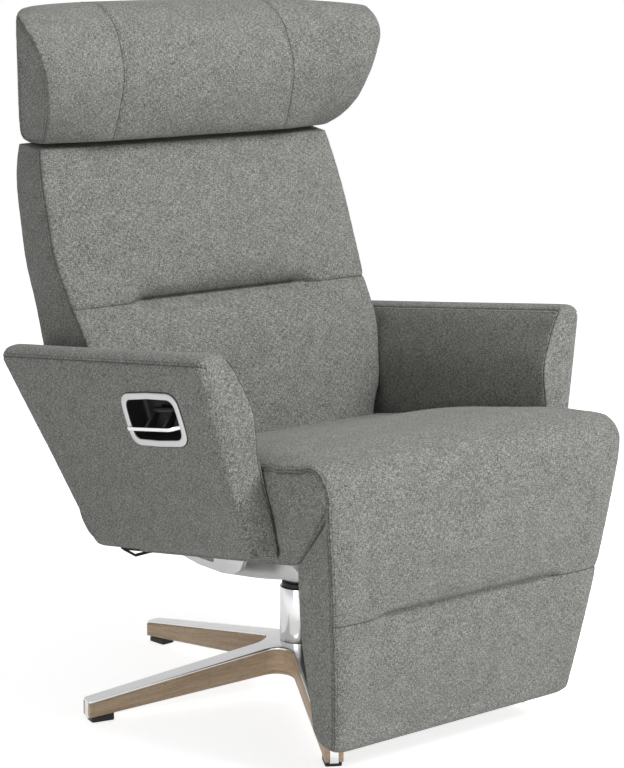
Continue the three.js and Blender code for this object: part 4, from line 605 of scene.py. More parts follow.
@dataclass
class Skin:
    """A closed skin of rings with a filled ring at each end.

    The rings start at a corner and have a long, a short, a long and a short side.
    """

    rings: np.ndarray
    long: int
    short: int
    ease: np.ndarray
    cap_ease: float = 1.0
    cap_crowns: tuple = (0.0, 0.0)

    def mesh(self) -> bmesh.types.BMesh:
        """Builds the skin.

        Returns:
            The closed mesh, with the places of its flat cloth and its ease.
        """
        bm = bmesh.new()
        closed = np.concatenate([self.rings, self.rings[:, :1]], axis=1)
        middle = lengths(closed[len(closed) // 2]) * MM
        run = lengths(self.rings.mean(axis=1)) * MM
        uv = np.stack(np.meshgrid(middle, run), axis=-1)
        ease = np.concatenate([self.ease, self.ease[:, :1]], axis=1)
        grid(bm, closed, uv, ease)
        for ring, inner, crown, turn in ((self.rings[0], self.rings[1], self.cap_crowns[0], 1),
                                         (self.rings[-1], self.rings[-2], self.cap_crowns[1], -1)):
            places = patch(ring, self.long, self.short)
            outwards = (ring - inner).mean(axis=0)
            outwards /= np.linalg.norm(outwards)
            rise = pillow(*places.shape[:2])
            places = places + outwards * (rise * crown)[..., None]
            flat_u, flat_v = lengths(places[len(places) // 2]) * MM, lengths(places[:, places.shape[1] // 2]) * MM
            cap_uv = np.stack(np.meshgrid(flat_u, flat_v), axis=-1) + turn
            grid(bm, places, cap_uv, rise * self.cap_ease)
        weld(bm, SOFT_WELD)
        return bm


def made_object(name: str, bm: bmesh.types.BMesh, material: bpy.types.Material,
                sharp: float | None = None) -> bpy.types.Object:
    """Turns a finished bmesh into an object at the origin.

    Args:
        name: The piece's name.
        bm: Its mesh, which is freed.
        material: Its finish.
        sharp: Angle in degrees past which an edge is sharp, or None for soft shapes.

    Returns:
        The object.
    """
    mesh = bpy.data.meshes.new(name)
    bm.to_mesh(mesh)
    bm.free()
    mesh.materials.append(material)
    shade_round(mesh, sharp)
    made = bpy.data.objects.new(name, mesh)
    bpy.context.scene.collection.objects.link(made)
    return made


def places_of(made: bpy.types.Object) -> np.ndarray:
    """A mesh's points in metres."""
    flat = np.empty(len(made.data.vertices) * 3)
    made.data.vertices.foreach_get("co", flat)
    return flat.reshape(-1, 3)


def move_points(made: bpy.types.Object, points: np.ndarray) -> None:
    """Sets a mesh's points in metres."""
    made.data.vertices.foreach_set("co", np.ascontiguousarray(points, np.float32).reshape(-1))
    made.data.update()


def soft_values(made: bpy.types.Object, name: str) -> np.ndarray:
    """One float attribute of a mesh's points."""
    values = np.empty(len(made.data.vertices), np.float32)
    made.data.attributes[name].data.foreach_get("value", values)
    return values


def swell(made: bpy.types.Object, pressure: float, reach: float) -> None:
    """Fills a cover by cloth simulation: it swells between its seams, which stay where they are.

    Args:
        made: The cover, with its ease.
        pressure: Pressure of the filling.
        reach: Millimetres that the cloth may move where its ease is 1.
    """
    if not SIMULATE:
        return
    start, ease = places_of(made), soft_values(made, "ease")
    held = made.vertex_groups.new(name="held")
    for level in np.unique(np.round(1 - ease, 1)):
        if level > 0:
            held.add(np.flatnonzero(np.round(1 - ease, 1) == level).tolist(), float(level), "REPLACE")
    cloth = made.modifiers.new("cloth", "CLOTH")
    cloth.settings.quality = 6
    cloth.settings.mass = 0.3
    cloth.settings.tension_stiffness = cloth.settings.compression_stiffness = 12
    cloth.settings.bending_stiffness = 0.4
    cloth.settings.use_pressure = True
    cloth.settings.uniform_pressure_force = pressure
    cloth.settings.vertex_group_mass = held.name
    cloth.settings.effector_weights.gravity = 0
    cloth.collision_settings.use_collision = False
    cloth.point_cache.frame_start, cloth.point_cache.frame_end = FRAMES
    scene = bpy.context.scene
    for step in range(FRAMES[0], FRAMES[1] + 1):
        scene.frame_set(step)
    solved = made.evaluated_get(bpy.context.evaluated_depsgraph_get())
    moved = np.empty(len(start) * 3)
    solved.data.vertices.foreach_get("co", moved)
    shift = moved.reshape(-1, 3) - start
    size = np.linalg.norm(shift, axis=1) + 1e-9
    limit = np.maximum(ease, 0) * reach * MM + 1e-9
    kept = limit * np.tanh(size / limit)
    move_points(made, start + shift * (kept / size)[:, None])
    made.modifiers.remove(cloth)
    made.vertex_groups.clear()
    scene.frame_set(FRAMES[0])
    LOG.info("%s swelled by up to %.1f mm", made.name, float(kept.max() / MM))


def subdivided(made: bpy.types.Object) -> None:
    """Divides a soft mesh once and rounds it, for good."""
    divide = made.modifiers.new("divide", "SUBSURF")
    divide.levels = divide.render_levels = 1
    divide.boundary_smooth = "ALL"
    apply_modifiers(made)


def apply_modifiers(made: bpy.types.Object) -> None:
    """Replaces a mesh by what its modifiers make of it."""
    bpy.context.view_layer.update()
    solved = made.evaluated_get(bpy.context.evaluated_depsgraph_get())
    mesh = bpy.data.meshes.new_from_object(solved)
    made.modifiers.clear()
    old = made.data
    made.data = mesh
    bpy.data.meshes.remove(old)
    mesh.name = made.name


@dataclass
class Seam:
    """A sewn line in a cover: a groove, a row of topstitches at a distance, or none at 0, and painted shade beside it
    over a width in millimetres.
    """

    line: np.ndarray
    depth: float
    width: float
    topstitch: float = 0.0
    mark: float = 0.9

    def points(self) -> np.ndarray:
        """The line in metres, a point each millimetre."""
        return placed(respaced(self.line, np.linspace(0, 1, max(3, int(lengths(self.line)[-1])))))


@dataclass
class Sewing:
    """Sews the seams of one cover."""

    seams: list
    stitch_pitch: float = 6.5
    stitch: tuple = (4.8, 1.2, 0.8)
    search: float = 30.0
    groove_reach: float = 9.0
    pucker: float = 0.35
    pucker_reach: float = 20.0
    pucker_pitch: float = 26.0
    pucker_place: tuple = (7.0, 6.0)

    def groove(self, cover: bpy.types.Object) -> None:
        """Presses the seams into a cover and paints shade on the cloth beside them.

        Args:
            cover: The divided cover.
        """
        points = places_of(cover)
        normals = np.empty(len(points) * 3, np.float32)
        cover.data.vertex_normals.foreach_get("vector", normals)
        reach = self.search * MM
        push, mark = np.zeros(len(points)), np.zeros(len(points))
        for seam in self.seams:
            line = seam.points()
            tree = KDTree(len(line))
            for i, place in enumerate(line):
                tree.insert(place, i)
            tree.balance()
            for i in np.flatnonzero(((points > line.min(0) - reach) & (points < line.max(0) + reach)).all(axis=1)):
                _, station, gap = tree.find(points[i])
                gap /= MM
                if gap < self.groove_reach:
                    push[i] = max(push[i], seam.depth * math.exp(-((gap / seam.width) ** 2)))
                if gap < self.pucker_reach:
                    middle, spread = self.pucker_place
                    wave = math.sin(station * 2 * math.pi / self.pucker_pitch)
                    push[i] += self.pucker * wave * math.exp(-((gap - middle) / spread) ** 2) / 2
                # Painted shade: how far the cloth beside the seam is darkened, kept in the seam attribute.
                mark[i] = max(mark[i], math.exp(-((gap / seam.mark) ** 2)))
        move_points(cover, points - normals.reshape(-1, 3) * (push * MM)[:, None])
        attribute = cover.data.attributes.get("seam") or cover.data.attributes.new("seam", "FLOAT", "POINT")
        attribute.data.foreach_set("value", mark.astype(np.float32))

    def stitches(self, cover: bpy.types.Object, thread: bpy.types.Material) -> bpy.types.Object | None:
        """Lays the topstitches of a cover.

        Args:
            cover: The finished cover.
            thread: The thread's finish.

        Returns:
            The stitches as one object, or None where no seam has any.
        """
        tree = BVHTree.FromObject(cover, bpy.context.evaluated_depsgraph_get())
        size = Matrix.Diagonal((*(side / 2 * MM for side in self.stitch), 1))
        bm = bmesh.new()
        for seam in self.seams:
            if not seam.topstitch:
                continue
            count = int(lengths(seam.line)[-1] / self.stitch_pitch)
            centres = placed(respaced(seam.line, (np.arange(count) + 0.5) / count))
            for centre, way in zip(centres, np.gradient(centres, axis=0)):
                along = Vector(way).normalized()
                across = tree.find_nearest(centre)[1].cross(along).normalized()
                spot, normal, _, _ = tree.find_nearest(Vector(centre) + across * (seam.topstitch * MM))
                along = (along - normal * along.dot(normal)).normalized()
                turn = Matrix((along, normal.cross(along), normal)).transposed().to_4x4()
                bmesh.ops.create_uvsphere(bm, u_segments=6, v_segments=4, radius=1,
                                          matrix=Matrix.Translation(spot) @ turn @ size)
        if not bm.verts:
            bm.free()
            return None
        return made_object(f"{cover.name}_stitches", bm, thread)


def dressed(piece: bpy.types.Object, body: Body, nodes: tuple = ()) -> bpy.types.Object:
    """Puts a piece on its body and hides the CAD nodes that it replaces.

    Args:
        piece: The finished piece.
        body: The body that it rides on.
        nodes: CAD nodes that it replaces.

    Returns:
        The piece.
    """
    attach(piece, body.value)
    if nodes:
        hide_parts(*nodes)
    LOG.info("%s on %s: %d faces", piece.name, body.value, len(piece.data.polygons))
    return piece


@dataclass
class Cover:
    """Common work on every sewn cover: filling, dividing, sewing and dressing."""

    palette: Palette

    def finish(self, name: str, bm: bmesh.types.BMesh, seams: list, pressure: float, reach: float) -> tuple:
        """Fills, divides and sews a cover.

        Args:
            name: The piece's name.
            bm: Its skin.
            seams: Its seams.
            pressure: Pressure of the filling.
            reach: Millimetres that the cloth may swell.

        Returns:
            The cover and its stitches.
        """
        cover = made_object(name, bm, self.palette.wool)
        swell(cover, pressure, reach)
        subdivided(cover)
        return self.sewn(cover, seams)

    def sewn(self, cover: bpy.types.Object, seams: list) -> tuple:
        """Sews a divided cover.

        Args:
            cover: The cover.
            seams: Its seams.

        Returns:
            The cover and its stitches.
        """
        sewing = Sewing(seams)
        sewing.groove(cover)
        return cover, sewing.stitches(cover, self.palette.thread)

    def dress(self, parts: tuple, body: Body, nodes: tuple, fill: float) -> None:
        """Puts a cover and its stitches on a body.

        Args:
            parts: The cover and its stitches.
            body: The body.
            nodes: CAD nodes that the cover replaces.
            fill: How tight its padding is; not used.
        """
        cover, stitches = parts
        dressed(cover, body, nodes)
        if stitches is not None:
            dressed(stitches, body)


# Seat and footrest


@dataclass
class SeatForms(Cover):
    """The seat, the footrest and the one cover that runs over both and bends round the roll between them."""

    tilt: float = math.radians(9)
    underside: float = 274.0
    thickness: float = 150.0
    ahead: float = 412.0
    pivot_height: float = 108.0
    roll: float = 46.0
    lower_edge: float = 345.0
    rear: float = 118.5
    half_top: float = 291.0
    half_low: float = 272.0
    half_between_arms: float = 279.0
    arm_front: tuple = (-303.0, -289.0)
    arm_toe: float = 26.0
    crown: float = 24.0
    cover: float = 4.0
    core_gap: float = 4.3
    edge_round: float = 34.0
    edge_fall: float = 7.0
    foot_bottom: float = 44.0
    foot_drop: float = 19.0
    foot_forward: float = 44.5
    foot_half_top: float = 288.0
    foot_half_low: float = 235.0
    undercut: float = 51.0
    foot_bow: float = 20.0
    foot_thick: tuple = (44.0, 73.0)
    foot_crown: float = 9.0
    channel_height: float = 250.3
    channel_depth: float = 14.0
    channel_spread: float = 9.0
    channel_half: float = 168.0
    toe: float = 16.0

    def at(self, along: Numbers, up: Numbers) -> np.ndarray:
        """Y and Z of a place along the tilted seat, behind the swivel axis, and up from its underside."""
        along, up = np.broadcast_arrays(np.asarray(along, float), np.asarray(up, float))
        return np.stack([along * math.cos(self.tilt) + up * math.sin(self.tilt),
                         self.underside - along * math.sin(self.tilt) + up * math.cos(self.tilt)], axis=-1)

    @property
    def pivot(self) -> np.ndarray:
        """Y and Z of the footrest's axis, the middle of the roll."""
        return self.at(-self.ahead, self.pivot_height)

    @property
    def foot_top(self) -> float:
        """Height of the footrest's top edge."""
        return float(self.pivot[1]) - self.foot_drop

    def lift(self, y: Numbers, across: float) -> Numbers:
        """How far the filled seat rises over its plane, at places front to back and a share across."""
        start = self.pivot[0] - self.roll / 2
        rise = smooth(y, start, start + 70) * (1 - smooth(y, self.rear - 300, self.rear - 20))
        return self.crown * rise * (1 - np.abs(across) ** 6)

    def seat_half(self, y: Numbers, z: Numbers) -> Numbers:
        """Half width of the seat at a place.

        Args:
            y: Places front to back.
            z: Heights.

        Returns:
            Half widths.
        """
        along = np.asarray(y) / math.cos(self.tilt)
        share = np.clip((np.asarray(z) - (self.underside - along * math.sin(self.tilt))) / self.thickness * 1.25, 0, 1)
        free = lerp(self.half_low, self.half_top, share)
        between = smooth(np.asarray(y) + self.arm_toe * (1 - smooth(share, 0, 0.9)), *self.arm_front)
        return lerp(free, np.minimum(free, self.half_between_arms), between)

    def foot_share(self, z: Numbers) -> Numbers:
        """Height share over the footrest."""
        return np.clip((np.asarray(z, float) - self.foot_bottom) / (self.foot_top - self.foot_bottom), 0, 1)

    def foot_half(self, z: Numbers) -> Numbers:
        """Half width of the footrest at a height."""
        return lerp(self.foot_half_low, self.foot_half_top, self.foot_share(z))

    def foot_front(self, z: Numbers) -> Numbers:
        """Y of the footrest's front at a height, without its padding's crown."""
        down = 1 - self.foot_share(z)
        return self.pivot[0] - self.foot_forward + self.undercut * down - self.foot_bow * down * (1 - down)

    def foot_padding(self, z: Numbers, across: float) -> Numbers:
        """How far the footrest's padding stands forward, less its channel.

        Args:
            z: Heights.
            across: Share of the half width.

        Returns:
            Millimetres forward.
        """
        half = self.foot_half(z)
        middle = 1 - smooth(np.abs(across) * half, self.channel_half - 12, self.channel_half + 26)
        lower = np.sin(np.pi * smooth(z, self.foot_bottom, self.channel_height)) ** 0.8
        upper = np.sin(np.pi * smooth(z, self.channel_height, self.foot_top)) ** 0.8
        crown = self.foot_crown * (lower + upper) * (1 - across**2)
        return crown - (self.channel_depth * middle + 2.0) * bell(z - self.channel_height, self.channel_spread)

    def edge_drop(self, across: Numbers) -> Numbers:
        """How far the padding falls back beside its edges, at a share of the half width."""
        return self.edge_fall * rounded_off(self.half_top * (1 - np.abs(across)), self.edge_round)

    def path(self, across: float) -> np.ndarray:
        """The cover's outside from the seat's rear over the roll and down to under the footrest's toe.

        Args:
            across: Share of the half width.

        Returns:
            Y and Z of each point.
        """
        rear_along = (self.rear - self.thickness * math.sin(self.tilt)) / math.cos(self.tilt)
        along = np.linspace(rear_along, -self.ahead, 52)[:-1]
        top = self.at(along, self.thickness)
        top[:, 1] += self.lift(top[:, 0], across)
        angles = np.linspace(math.pi / 2 - self.tilt, math.radians(184), 17)
        arc = self.pivot + self.roll * np.stack([np.cos(angles), np.sin(angles)], axis=-1)
        arc[:, 1] += self.lift(arc[:, 0], across)
        heights = spaced((self.foot_top - 16, self.channel_height, self.foot_bottom + self.toe)[::-1], 8.0)[::-1]
        front = np.stack([self.foot_front(heights) - self.foot_padding(heights, across), heights], axis=-1)
        lowest = float(self.foot_front(self.foot_bottom + self.toe))
        bends = np.linspace(math.pi, 1.5 * math.pi, 7)[1:]
        toe = np.array([lowest + self.toe, self.foot_bottom + self.toe]) + self.toe * np.stack(
            [np.cos(bends), np.sin(bends)], axis=-1)
        under = np.array([lowest + self.toe, self.foot_bottom]) + [[8, 0.6], [15, 3.0]]
        whole = np.concatenate([top, arc, front, toe, under])
        joint = slice(len(top) - 8, len(top) + len(arc) + 3)
        for _ in range(3):
            whole[joint] = (whole[joint] * 2 + whole[joint.start - 1:joint.stop - 1]
                            + whole[joint.start + 1:joint.stop + 1]) / 4
        return whole

    def outer(self, across: float, depth: float) -> np.ndarray:
        """The cover's path as places, set inwards by a depth.

        Args:
            across: Share of the half width.
            depth: Millimetres inwards.

        Returns:
            X, Y and Z of each point.
        """
        path = self.path(across)
        way = np.gradient(path, axis=0)
        way /= np.linalg.norm(way, axis=1)[:, None]
        inwards = np.stack([-way[:, 1], way[:, 0]], axis=-1)
        half = np.where(path[:, 1] > self.foot_top, self.seat_half(path[:, 0], np.maximum(path[:, 1], self.pivot[1])),
                        self.foot_half(path[:, 1]))
        path = path + inwards * depth
        return np.column_stack([across * half, path])

    def build_cover(self) -> None:
        """Makes the long cover over the seat, the roll and the footrest."""
        places = spaced((-self.half_top, 0.0, self.half_top), 9.5)
        shares = places / self.half_top
        drops = self.edge_drop(shares)
        thick = self.cover * smooth(self.half_top - np.abs(places), -9, 6)
        outside = np.stack([self.outer(share, drop) for share, drop in zip(shares, drops)], axis=1)
        inside = np.stack([self.outer(share, depth) for share, depth in zip(shares, drops + thick)], axis=1)
        rows, columns = outside.shape[:2]
        run, width = lengths(outside[:, columns // 2]) * MM, places * MM
        uv = np.stack(np.meshgrid(width, run), axis=-1)
        ease = np.ones((rows, columns)) * smooth(self.half_top - np.abs(places), 1, 70)[None]
        ease *= smooth(np.arange(rows), 0, 8)[:, None] * (1 - smooth(np.arange(rows), rows - 12, rows - 1))[:, None]
        heights = outside[:, columns // 2, 2]
        on_roll = np.clip(1 - np.abs(heights - self.pivot[1]) / 60, 0, 1)
        ease *= (1 - 0.7 * on_roll)[:, None]
        sewn = bell(outside[..., 2] - self.channel_height, 6) * (outside[..., 1] < self.pivot[0])
        ease *= 1 - sewn
        bm = bmesh.new()
        grid(bm, outside, uv, ease)
        cover = made_object("seat_cover", bm, self.palette.wool)
        swell(cover, 3.0, 10.0)
        bm = bmesh.new()
        bm.from_mesh(cover.data)
        grid(bm, inside, uv, np.zeros((rows, columns)))
        edges = [edge for edge in bm.edges if edge.is_boundary]
        bmesh.ops.bridge_loops(bm, edges=edges)
        bmesh.ops.recalc_face_normals(bm, faces=bm.faces[:])
        bm.to_mesh(cover.data)
        bm.free()
        shade_round(cover.data)
        subdivided(cover)
        channel_row = int(np.argmin(np.abs(outside[:, columns // 2, 2] - self.channel_height)))
        edge_line = outside[4:-3]
        # The last seam paints a wider shade along the channel's middle, where its fold lies in shadow.
        seams = [Seam(edge_line[:, 0], 0.2, 1.5, 7.0), Seam(edge_line[:, -1], 0.2, 1.5, -7.0),
                 Seam(outside[channel_row], 1.2, 1.8),
                 Seam(outside[channel_row][np.abs(places) < self.channel_half - 4], 2.2, 3.0, mark=2.2)]
        parts = self.sewn(cover, seams)
        pivot = self.pivot
        end = placed(np.array([0.0, pivot[0] - self.foot_forward, self.foot_top]))
        for piece in parts:
            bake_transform(piece)
            LOG.info("%s bends between chair and footrest: %d faces", piece.name, len(piece.data.polygons))

    def side_by_side(self, profile: Callable, counts: tuple, half_of: Callable, span: float) -> np.ndarray:
        """Rings at places across a core, each a profile widened to its half width.

        Args:
            profile: Function of a share across and of the counts, giving a ring of Y and Z.
            counts: Steps of a ring's long and short sides.
            half_of: Function of Y and Z, giving the half width.
            span: Half width that sets the spacing.

        Returns:
            The rings.
        """
        rings = []
        for share in spaced((-span, 0.0, span), 16.0, (0.8, 2.0, 4.5)) / span:
            ring = profile(share, *counts)
            fall = 0.6 * rounded_off(span * (1 - abs(share)), 3.0)
            rings.append(np.column_stack([share * half_of(ring[:, 0], ring[:, 1]), drawn_in(ring, fall)]))
        return np.array(rings)

    def seat_ring(self, across: float, long: int, short: int) -> np.ndarray:
        """The seat core's profile in four sides: underside, front, top and rear.

        Args:
            across: Share of the half width.
            long: Steps of the underside and of the top.
            short: Steps of the front and of the rear.

        Returns:
            Y and Z of each point.
        """
        corner = self.at(-self.lower_edge, 0)
        to_pivot = self.pivot - corner
        rear_low = self.at((self.rear - 2) / math.cos(self.tilt), 0)
        rear_along = (self.rear - self.thickness * math.sin(self.tilt)) / math.cos(self.tilt)
        back = self.at(np.array([-self.lower_edge + 22]), 0)[0]
        gap = self.core_gap + float(self.edge_drop(across))
        radius = self.roll - gap
        tangent = math.atan2(to_pivot[1], to_pivot[0]) + math.asin(radius / np.linalg.norm(to_pivot))
        angles = np.linspace(tangent + math.pi / 2, math.pi / 2 - self.tilt, 24)
        arc = self.pivot + radius * np.stack([np.cos(angles), np.sin(angles)], axis=-1)
        up = corner + (arc[0] - corner) * 0.14
        turn = np.array([(1 - t) ** 2 * back + 2 * t * (1 - t) * corner + t * t * up
                         for t in np.linspace(0, 1, 9)])
        along = np.linspace(-self.ahead, rear_along, 40)
        top = self.at(along, self.thickness - gap)
        top[:, 1] += self.lift(top[:, 0], across)
        top[-1, 0] = self.rear - 2
        return np.concatenate([
            evenly(np.array([rear_low, *turn[:5]]), long), evenly(np.concatenate([turn[4:], arc]), short),
            evenly(np.concatenate([arc[-1:], top[1:]]), long), evenly(np.array([top[-1], rear_low]), short)])

    def foot_rear(self, z: np.ndarray, front: np.ndarray) -> np.ndarray:
        """Y of the footrest's rear at heights, clear of the seat's undercut and of the roll.

        Args:
            z: Heights.
            front: Y of its front at each height.

        Returns:
            Y of each point.
        """
        lower = self.at(-self.lower_edge, 0)
        to_pivot = self.pivot - lower
        angle = math.atan2(to_pivot[1], to_pivot[0]) + math.asin(self.roll / np.linalg.norm(to_pivot))
        clear = self.roll - self.core_gap + 1.2
        thick = lerp(*self.foot_thick, smooth(z, self.foot_bottom, self.channel_height))
        undercut = lower[0] + (z - lower[1]) / math.tan(angle) - 1.5
        round_roll = self.pivot[0] - np.sqrt(np.maximum(clear**2 - (z - self.pivot[1]) ** 2, 0))
        near_roll = np.where(z > self.pivot[1] - clear, round_roll, 1e3)
        return np.maximum(np.minimum(np.minimum(front + thick, undercut), near_roll), front + 1.0)

    def foot_ring(self, across: float, long: int, short: int) -> np.ndarray:
        """The footrest core's profile in four sides: front, bottom, rear and top.

        Args:
            across: Share of the half width.
            long: Steps of the front and of the rear.
            short: Steps of the bottom and of the top.

        Returns:
            Y and Z of each point.
        """
        gap = self.core_gap + float(self.edge_drop(across))
        heights = np.linspace(self.foot_top + 2, self.foot_bottom + self.toe, 60)
        front = self.foot_front(heights) - self.foot_padding(heights, across) + gap
        lowest = float(self.foot_front(self.foot_bottom + self.toe)) + gap
        bends = np.linspace(math.pi, 1.5 * math.pi, 6)[1:]
        toe = np.array([lowest + 11, self.foot_bottom + self.toe]) + np.stack(
            [11 * np.cos(bends), 10 * np.sin(bends)], axis=-1)
        face = np.concatenate([np.column_stack([front, heights]), toe[:3]])
        rear_z = np.linspace(self.foot_bottom + 26, self.foot_top + 2, 40)
        back = np.column_stack([self.foot_rear(rear_z, self.foot_front(rear_z) + gap), rear_z])
        end = np.array([lowest + 30, self.foot_bottom + 9])
        return np.concatenate([
            evenly(face, long), evenly(np.concatenate([toe[2:], end[None], back[:1]]), short),
            evenly(back, long), evenly(np.array([back[-1], face[0]]), short)])

    def build_cores(self) -> None:
        """Makes the cores of the seat and of the footrest, with their side panels."""
        for name, body, profile, counts, half_of, span, sewn, crown, reach in (
                ("seat", Body.CHAIR, self.seat_ring, (44, 26), self.seat_half, self.half_top, slice(38, 82), 3.0, 4.0),
                ("footrest", Body.FOOTREST, self.foot_ring, (40, 10), lambda y, z: self.foot_half(z),
                 self.foot_half_top, slice(3, 50), 2.0, 3.0)):
            rings = self.side_by_side(profile, counts, half_of, span)
            skin = Skin(rings, *counts, np.zeros(rings.shape[:2]), cap_ease=0.8, cap_crowns=(crown, crown))
            seams = [Seam(ring[sewn], 0.5, 2.2) for ring in (rings[0], rings[-1])]
            parts = self.finish(f"{name}_padding", skin.mesh(), seams, 3.0, reach)
            self.dress(parts, body, (f"{name}_cushion",), 0.7)

    def build(self) -> None:
        """Builds the seat, the footrest and their cover."""
        self.build_cores()
        self.build_cover()


# Backrest


@dataclass
class Backrest(Cover):
    """The back: two filled fields with a deep channel between them, side panels and a rear face."""

    pivot: tuple = (195.0, 329.0)
    radius: float = 75.0
    height: float = 549.0
    front_lean: float = 168.0
    rear_reach: float = 62.0
    rear_lean: float = 111.0
    half: float = 306.0
    crown: float = 20.0
    crown_start: float = 0.1
    rear_rise: float = 5.0
    lower_crown: float = 0.7
    channel_share: float = 0.555
    channel_depth: float = 22.0
    channel_spread: float = 11.0
    channel_half: float = 165.0
    edge_round: float = 16.0
    edge_fall: float = 8.0
    front_shares: tuple = ((0, 0), (0.14, 0.024), (0.235, 0.06), (0.328, 0.125), (0.435, 0.22), (0.483, 0.304),
                           (0.55, 0.429), (0.674, 0.643), (0.816, 0.81), (0.969, 0.995), (1, 1.03))
    rear_shares: tuple = ((0, 0), (0.19, 0.2), (0.43, 0.42), (0.73, 0.75), (0.969, 1), (1, 0.99))
    width_shares: tuple = ((0, 0.872), (0.17, 0.872), (0.245, 0.922), (0.3, 0.935), (0.41, 0.96), (0.55, 0.978),
                           (0.674, 1), (0.816, 0.993), (0.969, 0.966), (1, 0.956))

    @property
    def channel(self) -> float:
        """Height of the channel."""
        return self.pivot[1] + self.channel_share * self.height

    def share(self, z: float) -> float:
        """Height share over the back."""
        return (z - self.pivot[1]) / self.height

    def depths(self, z: float) -> tuple:
        """Y of the front's and of the rear's plane at a height."""
        if z < self.pivot[1]:
            bulge = math.sqrt(max(self.radius**2 - (self.pivot[1] - z) ** 2, 0))
            return self.pivot[0] - bulge, self.pivot[0] + bulge * self.rear_reach / self.radius
        share = self.share(z)
        return (self.pivot[0] - self.radius + self.front_lean * float(sample(self.front_shares, share)),
                self.pivot[0] + self.rear_reach + self.rear_lean * float(sample(self.rear_shares, share)))

    def ring(self, z: float, places: np.ndarray, flank: int) -> np.ndarray:
        """One level of the back in four sides: front, left side, rear and right side.

        Args:
            z: Height of the level.
            places: Places across the front as shares from -1 to 1.
            flank: Steps of each side.

        Returns:
            The ring's points.
        """
        share = self.share(z)
        half = self.half * float(sample(self.width_shares, share))
        front, rear = self.depths(z)
        x = places * half
        lower = math.sin(math.pi * min(max((share - self.crown_start) / (self.channel_share - self.crown_start), 0), 1))
        upper = math.sin(math.pi * min(max((share - self.channel_share) / (1 - self.channel_share), 0), 1))
        bulge = self.crown * (self.lower_crown * lower**0.8 + upper**0.8) * (1 - places**2)
        reach = 1 - smooth(np.abs(x), self.channel_half - 14, self.channel_half + 34)
        dip = (self.channel_depth * reach + 2.5) * bell(z - self.channel, self.channel_spread)
        round_off = min(self.edge_fall, (rear - front) / 4)
        y = front - bulge + dip + round_off * rounded_off(half - np.abs(x), self.edge_round)
        face = np.column_stack([x, y, np.full_like(x, z)])
        rear_y = rear - round_off * rounded_off(half - np.abs(x), self.edge_round)
        back = np.column_stack([x, rear_y, np.full_like(x, z)])[::-1]
        depth = np.linspace(0, 1, flank + 1)
        draw = 3.0 * (1 - np.abs(2 * depth - 1) ** 2)
        left = np.column_stack([half + draw * 0.6, lerp(face[-1, 1], back[0, 1], depth), np.full(flank + 1, z)])
        right = left[::-1] * (-1, 1, 1)
        ring = np.concatenate([face[:-1], left[:-1], back[:-1], right[:-1]])
        raised = self.rear_rise * smooth(share, 0.93, 1.0) * smooth((ring[:, 1] - front) / (rear - front), 0.15, 0.7)
        return ring + raised[:, None] * (0, 0, 1)

    def build(self) -> None:
        """Builds the back's cover."""
        places = spaced((-self.half, 0.0, self.half), 10.0) / self.half
        long, short = len(places) - 1, 14
        low, top = self.pivot[1] - self.radius, self.pivot[1] + self.height
        levels = spaced((low + 1.5, self.channel, top), 10.0)
        rings = np.array([self.ring(z, places, short) for z in levels])
        x, z = rings[..., 0], rings[..., 2]
        index = np.arange(rings.shape[1])
        front = index < long
        ease = np.zeros(rings.shape[:2])
        half = np.abs(x).max(axis=1)[:, None]
        ease[:, front] = smooth(half - np.abs(x), 2, 60)[:, front]
        flank = (index > long) & (index < long + short) | (index > 2 * long + short)
        ease[:, flank] = 0.25
        rear = (index >= long + short) & (index <= 2 * long + short)
        ease[:, rear] = 0.3 * smooth(half - np.abs(x), 2, 60)[:, rear]
        ease *= smooth(z, low, low + 110) * (1 - bell(z - self.channel, 9)) * (1 - smooth(z, top - 40, top - 4))
        skin = Skin(rings, long, short, ease, cap_ease=0.2, cap_crowns=(0.0, 4.0))
        row = int(np.argmin(np.abs(levels - self.channel)))
        seams = [Seam(rings[:, column], 1.8, 2.2, offset) for column, offset in ((0, 6.0), (long, -6.0))]
        seams += [Seam(rings[:, column], 1.6, 2.2) for column in (long + short, 2 * long + short)]
        seams.append(Seam(rings[row, :long + 1], 2.0, 2.4))
        # This seam paints a wider shade along the channel's middle, where its fold lies in shadow.
        tuck = np.flatnonzero(np.abs(rings[row, :long + 1, 0]) < self.channel_half - 4)
        seams.append(Seam(rings[row, tuck], 2.4, 3.0, mark=2.0))
        parts = self.finish("back_padding", skin.mesh(), seams, 3.5, 12.0)
        self.dress(parts, Body.BACKREST, ("back_cushion",), 0.7)


# Headrest


